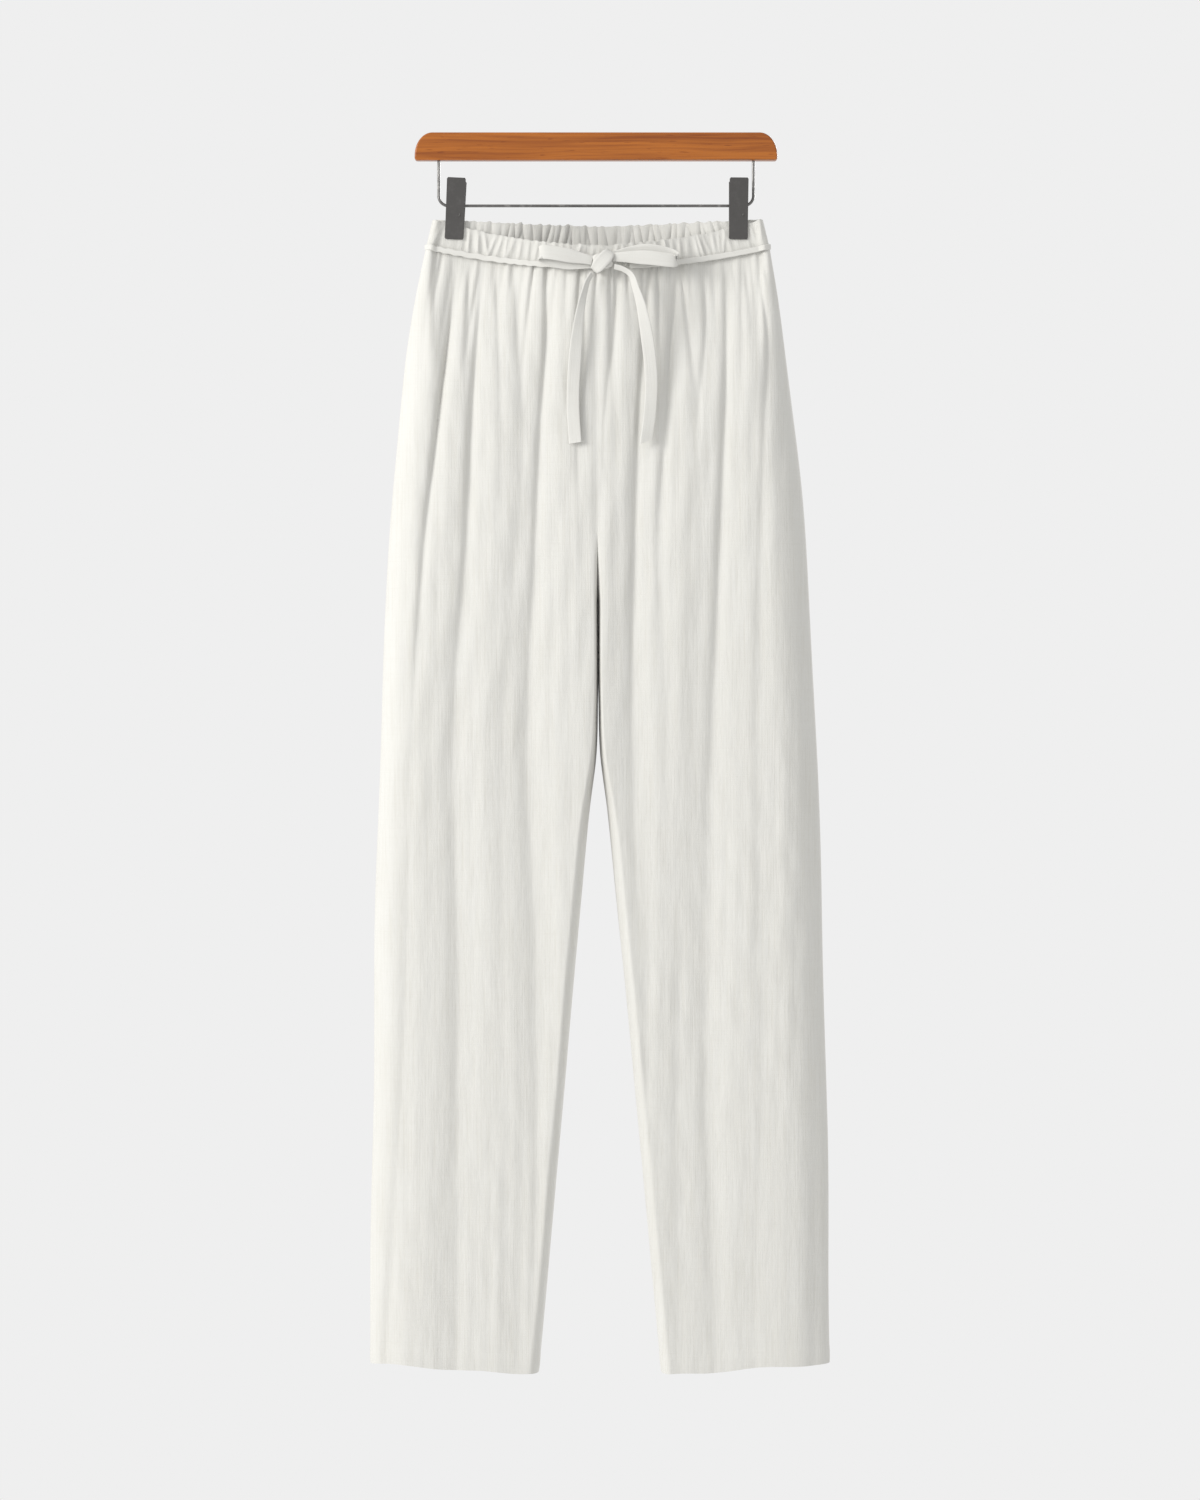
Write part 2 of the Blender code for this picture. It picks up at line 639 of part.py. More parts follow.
def ear_outline():
    """A jaw's ear, as (out, up): a tab from the plate with a round end that the rod runs through."""
    round_end = [
        (EAR_HALF_HEIGHT * math.cos(a) * 0.5 - EAR_PAST_ROD, EAR_HALF_HEIGHT * math.sin(a))
        for a in (0.5 * math.pi + math.pi * k / 8 for k in range(9))
    ]
    return [(7.3, EAR_HALF_HEIGHT), *round_end, (5.5, -EAR_HALF_HEIGHT), (6.4, 0.0)]


def add_jaw(name, side, tilt):
    """One stamped jaw: a plate with an ear folded in from each edge, hung on the rod by the ears."""
    facing = [(side * y, z) for y, z in jaw_outline()]
    jaw = extrude_outline(name, facing, -0.5 * CLIP_WIDTH, 0.5 * CLIP_WIDTH, "X", "clip_steel")
    cutters = []
    for k, sign in enumerate((RIGHT, LEFT)):
        ends = sorted((sign * EAR_AT[side], sign * (EAR_AT[side] + CLIP_PLATE)))
        outline = [(side * y, z) for y, z in ear_outline()]
        ear = as_cutter(extrude_outline(f"{name}_ear_{k}", outline, *ends, "X", "clip_steel"))
        boolean(jaw, ear, "UNION")
        cutters.append(ear)
    hole = as_cutter(cylinder_along_x(f"{name}_hole", WIRE_RADIUS + EAR_HOLE_CLEARANCE, -20.0, 20.0,
                                     "clip_steel"))
    boolean(jaw, hole, "DIFFERENCE")
    cutters.append(hole)
    for obj in (jaw, *cutters):
        obj.parent = tilt


def add_clip(where):
    """A spring clip on the rod: two jaws and the coil that shuts them."""
    centre = bpy.data.objects.new(f"clip_{where}", None)
    bpy.context.scene.collection.objects.link(centre)
    centre.location = Vector((CLIP_AT[where], 0.0, -ROD_DROP)) * MM
    centre.rotation_euler = (0.0, math.radians(CLIP_LEAN_DEG[where]), 0.0)
    add_jaw(f"clip_{where}_front_jaw", FRONT, centre)
    add_jaw(f"clip_{where}_back_jaw", BACK, centre)
    half = 0.5 * SPRING_LENGTH
    coil = cylinder_along_x(f"clip_{where}_spring", SPRING_OUTER, -half, half, "wire_steel", 20)
    bore = as_cutter(cylinder_along_x(f"clip_{where}_bore", SPRING_INNER, -half - 1, half + 1, "wire_steel", 20))
    boolean(coil, bore, "DIFFERENCE")
    coil.parent = centre
    bore.parent = centre


def build():
    clear_scene()
    add_bar()
    add_wire()
    for where in ("right", "left"):
        add_clip(where)
    add_waistband("waistband_front", FRONT)
    add_waistband("waistband_back", BACK)
    for where, leg in (("right", RIGHT), ("left", LEFT)):
        add_leg_panel(f"leg_front_{where}", FRONT, leg)
        add_leg_panel(f"leg_back_{where}", BACK, leg)
        add_hem(f"hem_{where}", leg)
    add_waist_tape("drawstring_front_right", FRONT, -0.985, -0.06, 22)
    add_waist_tape("drawstring_front_left", FRONT, 0.12, 0.985, 22)
    add_waist_tape("drawstring_back", BACK, -0.985, 0.985, 40)
    add_bow()


build()
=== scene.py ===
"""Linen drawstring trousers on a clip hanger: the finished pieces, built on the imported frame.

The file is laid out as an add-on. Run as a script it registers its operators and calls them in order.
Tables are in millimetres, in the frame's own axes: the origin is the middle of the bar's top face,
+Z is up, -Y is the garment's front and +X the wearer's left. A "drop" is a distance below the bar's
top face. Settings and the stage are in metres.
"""

import math
from collections import namedtuple

import bmesh
import bpy
import numpy as np
from bpy.props import FloatProperty, FloatVectorProperty, PointerProperty
from mathutils import Matrix, Vector


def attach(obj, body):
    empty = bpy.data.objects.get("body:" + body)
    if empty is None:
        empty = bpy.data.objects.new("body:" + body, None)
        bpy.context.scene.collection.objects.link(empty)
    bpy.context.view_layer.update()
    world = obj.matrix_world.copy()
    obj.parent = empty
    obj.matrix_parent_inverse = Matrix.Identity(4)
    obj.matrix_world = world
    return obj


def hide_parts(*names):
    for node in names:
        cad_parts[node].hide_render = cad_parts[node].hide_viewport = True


bl_info = {
    "name": "Linen Drawstring Trousers",
    "version": (1, 0, 0),
    "blender": (4, 5, 0),
    "location": "3D View > Sidebar > Trousers",
    "description": "Builds linen drawstring trousers hanging from a wooden clip hanger",
    "category": "Add Mesh",
}

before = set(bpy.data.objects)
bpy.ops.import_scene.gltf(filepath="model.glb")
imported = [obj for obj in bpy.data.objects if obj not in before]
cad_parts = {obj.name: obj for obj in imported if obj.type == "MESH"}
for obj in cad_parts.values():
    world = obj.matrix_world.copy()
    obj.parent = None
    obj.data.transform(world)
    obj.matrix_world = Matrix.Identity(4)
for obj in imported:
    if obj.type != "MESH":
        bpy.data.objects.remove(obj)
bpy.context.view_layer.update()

MM = 0.001
BODY = "root"
FRONT, BACK = -1, 1
RIGHT, LEFT = -1, 1
SIDE_NAMES = {FRONT: "front", BACK: "back"}
LEG_NAMES = {RIGHT: "right", LEFT: "left"}

# ---------------------------------------------------------------- the garment's form
BAND_TOP_HALF = 149.0  # the waistband's top edge, from its middle to its side
BAND_FLARE = 1.04  # how much wider the waistband is at its seam
PINCH_FROM = 116.0  # the waist is nipped flat by the clips between these two places
PINCH_TO = 139.0
PINCHED = 1.4  # how far each face stands out where it is nipped
SIDE_LOOP = 5.0  # radius of the band's turn round each side
SIDE_BULGE = 3.6  # how much further the band stands out just inside that turn
WAIST_OPEN = {FRONT: 16.6, BACK: 18.0}  # how far the seam swells out at the middle
DRAWN_IN = 3.0  # how much less the top edge does
SEAM_SWELL = 2.6  # how far the panels puff out just below the waist seam
FILL_OUT = 130.0  # the height below the seam over which they reach their full depth
SIDE_ROUND = 38.0  # radius of the turn at the side seam, once they are that deep
SIDE_WAVE = 0.7  # how far the side seam wanders
CENTRE_SEAM = 1.4  # depth of the trough along the centre seam
CROTCH_DROP = 422.0
CROTCH_CURVE = 70.0  # the height over which front and back come together above the fork
FORK_ROUND = 3.5  # radius of the inseam's turn near the fork
INSEAM_ROUND = 9.0  # and from the knee down
GATHERS = 33
GATHER_REACH = 152.0  # how far from the middle they go
HEM_INNER_DROP = 1117.0
HEM_OUTER_DROP = 1109.0
HEM_DEPTH = 18.0
HEM_PUFF = 0.3
CENTRE_SWAY = 1.6  # how far the waist's middle hangs from the bar's

# The meshes' fineness: columns, then rows.
PANEL_GRID = (146, 280)
HEM_GRID = (110, 16)
BAND_GRID = (620, 22)

Section = namedtuple("Section", "drop half_width leg_gap depth sway")
SECTIONS = (
    Section(103, 155, 0, 15, 1.6),
    Section(150, 163.8, 0, 22, 0.6),
    Section(190, 169.8, 0, 26, 0),
    Section(260, 178.2, 0, 30, 0.2),
    Section(330, 185, 0, 32, 0.9),
    Section(420, 190.8, 0, 32.5, 1.8),
    Section(510, 195.3, 0.2, 31.5, 2),
    Section(560, 197.2, 1.6, 31, 2.1),
    Section(610, 198.8, 7.8, 30, 2.2),
    Section(690, 201.2, 15.6, 28.5, 2.5),
    Section(780, 203.2, 24.3, 27, 3),
    Section(870, 204.6, 32.4, 25.5, 3.3),
    Section(960, 206, 40.7, 24.5, 3.5),
    Section(1050, 207, 48.8, 23.5, 3.6),
    Section(1117, 207.8, 55, 22.5, 3.6),
)

# The hanging folds: where each trough runs, in x from the middle, at the seven drops below, then how
# deep it is there, then how wide it is beside a plain fold.
FOLD_DROPS = (130.0, 185.0, 260.0, 360.0, 520.0, 760.0, 1100.0)
Fold = namedtuple("Fold", "x1 x2 x3 x4 x5 x6 x7 d1 d2 d3 d4 d5 d6 d7 wide")
FRONT_FOLDS = (
    Fold(-128, -133, -142, -154, -166, -173, -192, 4, 6, 6.5, 4, 2, 2, 3, 0.7),
    Fold(-116, -116, -118, -120, -120, -120, -120, 2, 1, 0, 0, 0, 0, 0, 0.8),
    Fold(-104, -107, -112, -117, -129, -126, -129, 3, 4, 5, 4.5, 4.5, 4, 2.5, 1),
    Fold(-91, -88, -86, -86, -86, -86, -86, 2.4, 1.5, 0.5, 0, 0, 0, 0, 0.9),
    Fold(-74, -70, -65, -71, -83, -90, -75, 2.5, 2, 1.5, 1.5, 0.8, 0.5, 1.6, 1.5),
    Fold(-46, -45, -50, -55, -63, -56, -60, 3, 4, 4.5, 4.5, 5, 4, 1, 1),
    Fold(-14, -10, -16, -16, -16, -16, -16, 1.6, 1.4, 1.3, 0.6, 0, 0, 0, 0.8),
    Fold(19, 15, 8, 6, 6, 6, 6, 2.5, 1.8, 1.2, 0, 0, 0, 0, 0.9),
    Fold(47, 43, 38, 34, 31, 38, 60, 2.8, 3.2, 4.2, 5.5, 5.5, 2, 0, 1),
    Fold(72, 67, 63, 55, 61, 68, 72, 3.5, 4.2, 3.6, 2, 1, 1.4, 1.4, 1),
    Fold(97, 98, 91, 92, 86, 80, 84, 2.4, 2.2, 1.3, 1, 0.8, 0, 0, 0.9),
    Fold(116, 117, 115, 110, 103, 95, 104, 3, 3.8, 4.2, 4.8, 5, 4.8, 2.6, 1),
    Fold(130, 131, 132, 134, 134, 134, 134, 1.8, 0.8, 0, 0, 0, 0, 0, 0.8),
    Fold(147, 154, 151, 146, 142, 145, 139, 2.2, 2.6, 1.6, 1.4, 1.4, 1, 1.6, 0.9),
    Fold(158, 167, 178, 186, 189, 196, 193, 0.5, 1.5, 1.8, 2.2, 3, 3, 2.4, 0.9),
)
BACK_FOLDS = (
    Fold(-133, -140, -148, -156, -160, -166, -176, 2.6, 4, 4.4, 3.4, 3, 2.4, 1.6, 1),
    Fold(-112, -114, -116, -118, -118, -118, -118, 2.2, 1.4, 0.4, 0, 0, 0, 0, 0.8),
    Fold(-96, -98, -104, -110, -113, -116, -122, 3, 4.2, 4.8, 4.4, 4.8, 4, 2.2, 1),
    Fold(-76, -76, -78, -84, -88, -90, -92, 2.2, 1.8, 1.2, 1, 0.6, 0.4, 0.8, 1.3),
    Fold(-57, -56, -53, -50, -55, -68, -86, 3, 4, 4.8, 5.2, 4.6, 3.4, 1.4, 1),
    Fold(-36, -35, -34, -32, -32, -32, -32, 1.8, 1.2, 0.4, 0, 0, 0, 0, 0.8),
    Fold(-19, -18, -20, -23, -30, -46, -66, 2.6, 3, 2.8, 2.2, 1.6, 0.8, 0, 0.9),
    Fold(8, 9, 10, 10, 10, 10, 10, 1.8, 1.4, 0.6, 0, 0, 0, 0, 0.9),
    Fold(28, 26, 24, 27, 32, 44, 62, 2.8, 3.8, 4.4, 4, 3.4, 1.6, 0, 1),
    Fold(49, 50, 50, 50, 54, 60, 70, 2.2, 1.6, 0.8, 0.6, 0.8, 1.2, 1.4, 1.1),
    Fold(67, 69, 69, 66, 72, 80, 91, 3, 4.2, 4.6, 4.4, 4.8, 4.2, 2.2, 1),
    Fold(88, 90, 92, 94, 94, 94, 94, 2.2, 1.4, 0.5, 0, 0, 0, 0, 0.8),
    Fold(105, 108, 113, 118, 119, 124, 127, 3, 4, 4.4, 4.8, 4.4, 4.2, 2, 1),
    Fold(124, 126, 128, 130, 130, 130, 130, 1.8, 1.2, 0.4, 0, 0, 0, 0, 0.8),
    Fold(139, 144, 151, 158, 163, 167, 175, 2.2, 3.2, 3.6, 3.2, 2.8, 2.6, 1.8, 1),
)

# ---------------------------------------------------------------- the tied drawstring
Turn = namedtuple("Turn", "across out drop turned")


def route(*rows):
    return tuple(Turn(*row) for row in rows)


KNOT_AT = Vector((6.0, -25.6, -118.5))
KNOT_HALF = Vector((10.0, 4.4, 7.6))
WRAP_LONG = 11.0  # half the length of the turn wound over the knot, and half its depth
WRAP_DEEP = 5.6
WAIST_TAPE_WIDTH = 5.0
WAIST_TAPE_THICK = 1.6
LOOP_THICK = 1.2
TAIL_THICK = 1.1
WRAP_THICK = 1.4
RIGHT_LOOP = route(
    (-3.5, 26.6, 118, 0), (-16, 28.4, 115.5, 0), (-32, 30.4, 112.6, 0),
    (-45, 30.6, 110.8, 0), (-49.8, 28.2, 111.6, 0), (-46, 25.6, 114.4, 0),
    (-32, 24.6, 118.6, 0), (-16, 24, 120.4, 0), (-4.5, 23.6, 120.6, 0),
)
LEFT_LOOP = route(
    (15.6, 26.8, 115, 0), (30, 28.8, 115.2, 0), (48, 30.2, 116, 0),
    (64, 30.2, 117.8, 0), (71.5, 28, 117.6, 0), (66, 25.6, 113.2, 0),
    (50, 24.8, 109.6, 0), (32, 24, 110, 0), (17, 23.6, 113, 0),
)
RIGHT_TAIL = route(
    (-3.6, 28.4, 130, -55), (-8.1, 30.2, 139, -45), (-13.4, 31.6, 160.7, -25),
    (-18, 32, 196.7, -10), (-20.6, 32.8, 241.7, 0), (-18.6, 33.6, 282, 6),
)
LEFT_TAIL = route(
    (16.4, 31.2, 124, 50), (24, 32.4, 126.4, 50), (31.6, 33.2, 132, 45),
    (35.6, 33.6, 143.6, 35), (41, 33.8, 162, 20), (46.6, 34, 194, 6),
    (49.4, 34.2, 223.7, 0), (48.6, 34.6, 252, -5), (45, 35, 280.4, -12),
)

# ---------------------------------------------------------------- the hanger
WIRE_HALF_SPAN = 142.0
WIRE_BEND = 9.0
WIRE_IN_BAR = 9.0
ROD_DROP = 65.7
CLIP_AT = {"right": -126.6, "left": 128.6}
CLIP_LEAN_DEG = {"right": 2.6, "left": 0.5}
BEND_TOP_DROP = 45.0  # where the wire's straight sides are given a second point
BAR_END_RISE = (16.0, 21.0)  # width and height of the quarter oval at each end of the bar

# A jaw's plate, from its top to its foot: how far above the rod, and how far out from it.
Bend = namedtuple("Bend", "up out")
JAW_BENDS = (
    Bend(24, 12.4), Bend(20, 11.2), Bend(15, 9.6), Bend(10, 8.4), Bend(5.5, 7.4), Bend(0, 6.4),
    Bend(-6, 5.4), Bend(-14, 3.9), Bend(-20, 3.75), Bend(-26, 3.75), Bend(-30.6, 3.75),
)
JAW_TOP, JAW_FOOT = JAW_BENDS[0].up, JAW_BENDS[-1].up
JAW_PLATE = 1.0
JAW_CORNER = 0.9
EAR_AT = {FRONT: 6.0, BACK: 4.7}  # the back jaw's ears stand inside the front jaw's
EAR_HALF = 5.2  # half an ear's height, and the radius of its hole for the rod
EAR_HOLE = 2.2
COIL_HALF = 4.0  # half the coil's length, and its radius
COIL_RADIUS = 3.1
SPRING_WIRE = 0.0011  # diameter, in metres like the settings

# ---------------------------------------------------------------- the stage, in metres
CAMERA_AT = (0.0036, -3.76, -0.5567)
LIT_AT = (0.0, 0.0, -0.5)
FLOOR_AT = (0.0, 0.0, -2.12)
WARM_WHITE = (1.0, 0.99, 0.97)


# ---------------------------------------------------------------- settings
class TrouserSettings(bpy.types.PropertyGroup):
    """Sizes and strengths of the garment's cloth."""

    cloth: FloatProperty(
        name="Cloth Thickness", description="Thickness of one layer of linen", default=0.0007,
        min=0.0003, max=0.002, unit="LENGTH"
    )
    band: FloatProperty(
        name="Waistband Thickness", description="Thickness of the casing with its elastic",
        default=0.0022, min=0.001, max=0.005, unit="LENGTH"
    )
    tape: FloatProperty(
        name="Drawstring Width", description="Width of the drawstring pressed flat", default=0.012,
        min=0.004, max=0.03, unit="LENGTH"
    )
    folds: FloatProperty(
        name="Fold Depth", description="How deep the hanging folds are, beside the usual depth",
        default=1.5, min=0.0, max=2.5, subtype="FACTOR"
    )
    gathers: FloatProperty(
        name="Gather Depth", description="Depth of the small gathers under the waist seam",
        default=0.0036, min=0.0, max=0.008, unit="LENGTH"
    )
    crumple: FloatProperty(
        name="Crumple", description="Height of the soft creases left all over the linen", default=0.0005,
        min=0.0, max=0.002, unit="LENGTH"
    )
    linen: FloatVectorProperty(
        name="Linen", description="Colour of the linen", default=(0.613, 0.608, 0.580), size=3, min=0.0,
        max=1.0, subtype="COLOR"
    )
    linen_thread: FloatVectorProperty(
        name="Linen Thread", description="Colour of the darker slub threads",
        default=(0.553, 0.541, 0.497), size=3, min=0.0, max=1.0, subtype="COLOR"
    )


class HangerSettings(bpy.types.PropertyGroup):
    """Sizes and colours of the hanger."""

    bar_length: FloatProperty(
        name="Bar Length", description="Length of the wooden bar", default=0.327, min=0.2, max=0.5,
        unit="LENGTH"
    )
    bar_height: FloatProperty(
        name="Bar Height", description="Height of the wooden bar", default=0.025, min=0.01, max=0.05,
        unit="LENGTH"
    )
    bar_thick: FloatProperty(
        name="Bar Thickness", description="Thickness of the wooden bar", default=0.012, min=0.006,
        max=0.03, unit="LENGTH"
    )
    wire: FloatProperty(
        name="Wire Diameter", description="Diameter of the bent wire", default=0.0026, min=0.001,
        max=0.006, unit="LENGTH"
    )
    clip_width: FloatProperty(
        name="Clip Width", description="Width of a clip's jaws", default=0.017, min=0.01, max=0.04,
        unit="LENGTH"
    )
    wood: FloatVectorProperty(
        name="Wood", description="Colour of the varnished wood", default=(0.37, 0.115, 0.016), size=3,
        min=0.0, max=1.0, subtype="COLOR"
    )
    wood_dark: FloatVectorProperty(
        name="Wood Grain", description="Colour of the grain's dark lines", default=(0.17, 0.038, 0.006),
        size=3, min=0.0, max=1.0, subtype="COLOR"
    )
    steel: FloatVectorProperty(
        name="Wire Steel", description="Colour of the wire and the springs",
        default=(0.165, 0.161, 0.157), size=3, min=0.0, max=1.0, subtype="COLOR"
    )
    clip: FloatVectorProperty(
        name="Clip Coat", description="Colour of the coated clips", default=(0.078, 0.075, 0.073),
        size=3, min=0.0, max=1.0, subtype="COLOR"
    )


# ---------------------------------------------------------------- plain helpers
def mix(a, b, share):
    return a + (b - a) * share


def ease(share):
    """0 to 1 with a soft start and end."""
    share = np.clip(share, 0.0, 1.0)
    return share * share * (3.0 - 2.0 * share)


def rounded(distance, radius):
    """The height of a quarter circle of that radius, as a share, at a distance in from its edge."""
    share = np.clip(distance / radius, 0.0, 1.0)
    return np.sqrt(1.0 - (1.0 - share) ** 2)


def through(places, values, at):
    """A smooth curve through the values that stand at rising places."""
    places, values = np.asarray(places, float), np.asarray(values, float)
    slopes = np.gradient(values, places)
    at = np.clip(at, places[0], places[-1])
    i = np.clip(np.searchsorted(places, at, side="right") - 1, 0, len(places) - 2)
    span = places[i + 1] - places[i]
    t = (at - places[i]) / span
    return (
        values[i] * (1 + 2 * t) * (1 - t) ** 2
        + slopes[i] * span * t * (1 - t) ** 2
        + values[i + 1] * t * t * (3 - 2 * t)
        + slopes[i + 1] * span * t * t * (t - 1)
    )


def bump_row(offset, width, lean=0.0):
    """A soft ridge of height 1 across offset. lean makes its low side steeper than its high side."""
    wide = width * np.where(offset < 0, 1.0 - lean, 1.0 + lean)
    return np.exp(-((offset / wide) ** 2))


def wander(across, down, seed, size):
    """A smooth uneven surface, about -1 to 1: long hanging swells, crossed by a few slanting ones."""
    spin = np.random.default_rng(seed)
    total = 0.0
    for k in range(9):
        wave = size * (0.6 + 1.5 * spin.random())
        slant = 0.10 * (spin.random() - 0.5) if k < 6 else 0.9 * (spin.random() - 0.5)
        phase, swell, shift = spin.random(3) * 2 * math.pi
        fade = 0.5 + 0.5 * np.sin(down / (55.0 + 90.0 * spin.random()) + swell + 0.01 * across)
        total = total + fade * np.sin(2 * math.pi * (across + slant * down) / wave + phase + shift)
    return total / 3.2


def put_in_scene(obj, *nodes):
    """Links a finished piece, lets it ride on the frame and stand for its CAD nodes."""
    bpy.context.scene.collection.objects.link(obj)
    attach(obj, BODY)
    if nodes:
        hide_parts(*nodes)
    return obj


def mesh_piece(name, points, faces, finish, nodes, flat=None):
    """A smooth-shaded piece from points in millimetres. flat gives each point its place on the flat
    cloth, in millimetres, which becomes the UV map that the weave follows."""
    mesh = bpy.data.meshes.new(name)
    mesh.from_pydata((np.asarray(points, float) * MM).tolist(), [], faces)
    if flat is not None:
        uv = mesh.uv_layers.new(name="cloth")
        corners = np.empty(len(mesh.loops), dtype=np.int32)
        mesh.loops.foreach_get("vertex_index", corners)
        uv.data.foreach_set("uv", (np.asarray(flat, float)[corners] * MM).ravel())
    mesh.shade_smooth()
    mesh.set_sharp_from_angle(angle=math.radians(60))
    mesh.materials.append(finish)
    obj = bpy.data.objects.new(name, mesh)
    return put_in_scene(obj, *nodes)


def grid_normals(grid, closed):
    along = np.roll(grid, -1, 1) - np.roll(grid, 1, 1) if closed else np.gradient(grid, axis=1)
    facing = np.cross(along, np.gradient(grid, axis=0))
    return facing / np.linalg.norm(facing, axis=2, keepdims=True)


def shell(name, grid, thick, inwards, finish, nodes, keep=None, closed=False, flat=None):
    """A thin cloth shell. The grid is its outer face, and its inner face lies thick behind it, on the
    side that inwards gives. keep moves inner points back to their own side of a seam."""
    rows, columns = grid.shape[:2]
    inner = grid + inwards * thick * grid_normals(grid, closed)
    if keep:
        inner = keep(inner)
    points = np.concatenate([grid.reshape(-1, 3), inner.reshape(-1, 3)])
    count = rows * columns
    last = columns if closed else columns - 1
    r, c = np.meshgrid(np.arange(rows - 1), np.arange(last), indexing="ij")
    a = (r * columns + c).ravel()
    b = (r * columns + (c + 1) % columns).ravel()
    quads = [np.stack([a, b, b + columns, a + columns], 1)]
    quads.append(np.stack([a, a + columns, b + columns, b], 1) + count)
    for row in (0, rows - 1):
        edge = row * columns + np.arange(last)
        after = row * columns + (np.arange(last) + 1) % columns
        rim = np.stack([edge, edge + count, after + count, after], 1)
        quads.append(rim if row == 0 else rim[:, ::-1])
    if not closed:
        for column in (0, columns - 1):
            edge = np.arange(rows - 1) * columns + column
            rim = np.stack([edge, edge + columns, edge + columns + count, edge + count], 1)
            quads.append(rim if column == 0 else rim[:, ::-1])
    faces = np.concatenate(quads)
    if inwards < 0:
        faces = faces[:, ::-1]
    if flat is not None:
        flat = np.concatenate([flat.reshape(-1, 2), flat.reshape(-1, 2)])
    return mesh_piece(name, points, faces.tolist(), finish, nodes, flat)


# ---------------------------------------------------------------- the cloth's surface
def section(drop):
    drops = [row.drop for row in SECTIONS]
    return Section(drop, *(through(drops, [row[k] for row in SECTIONS], drop) for k in range(1, 5)))


def waist_drop(across, side, edge):
    share = np.clip(np.abs(across) / BAND_TOP_HALF, 0.0, 1.0) ** 1.7
    middle, end = {
        (FRONT, "top"): (103.0, 78.0),
        (BACK, "top"): (82.0, 78.0),
        (FRONT, "seam"): (123.0, 103.0),
        (BACK, "seam"): (109.0, 103.0),
    }[side, edge]
    return mix(middle, end, share)


def waist_out(across, opening):
    away = np.abs(across)
    swell = opening * np.cos(0.5 * math.pi * np.clip(away / PINCH_FROM, 0.0, 1.0)) ** 2
    return PINCHED + swell + SIDE_BULGE * ease((away - PINCH_TO) / 6.0)


def hem_drop(across):
    away = np.abs(across)
    ripple = 0.9 * np.sin(across / 13.0) * ease((away - 62) / 20)
    return mix(HEM_INNER_DROP, HEM_OUTER_DROP, ease((away - 60.0) / 140.0)) + ripple


def gather_rows(side):
    """The small gathers under the waist seam: place, length, depth share, width and lean of each."""
    spin = np.random.default_rng(41 if side == FRONT else 59)
    rows = []
    for k in range(GATHERS):
        place = -GATHER_REACH + 2 * GATHER_REACH * (k + 0.5 + 0.7 * (spin.random() - 0.5)) / GATHERS
        rows.append((place, 18.0 + 90.0 * spin.random() ** 2, 0.35 + 0.9 * spin.random(),
                     2.0 + 1.6 * spin.random(), 12.0 * (spin.random() - 0.5)))
    return rows


def fold_surface(x, drop, top, side, settings):
    """How far the folds, gathers and soft creases draw the cloth in, at a place on a leg panel."""
    total = np.zeros_like(x)
    width = mix(4.6, 10.0, ease((drop - 125.0) / 300.0))
    sharp = mix(1.0, 0.15, ease((drop - 320.0) / 330.0))
    for fold in FRONT_FOLDS if side == FRONT else BACK_FOLDS:
        offset = x - through(FOLD_DROPS, fold[0:7], drop)
        depth = through(FOLD_DROPS, fold[7:14], drop)
        crease = (0.34 * sharp * bump_row(offset, 0.42 * width * fold.wide, 0.3)
                  + 0.34 * bump_row(offset, width * fold.wide, 0.3)
                  + (0.66 - 0.34 * sharp) * bump_row(offset, 2.6 * width * fold.wide))
        total += settings.folds * depth * crease
    below = drop - top
    spread = section(drop).half_width / 155.0
    for place, length, depth, wide, lean in gather_rows(side):
        offset = x - place * spread - lean * below / 90.0
        fade = np.exp(-((below / length) ** 2))
        grown = wide * (1 + below / 70.0)
        pleat = (0.5 * bump_row(offset, 0.5 * grown, 0.25) + 0.5 * bump_row(offset, 1.3 * grown, 0.25)
                 - 0.3 * bump_row(offset, 3.0 * grown))
        total += settings.gathers / MM * depth * fade * pleat
    soft = wander(x, drop, 7 if side == FRONT else 23, 22.0)
    return total + settings.crumple / MM * soft * ease(below / 60.0 + 0.2)


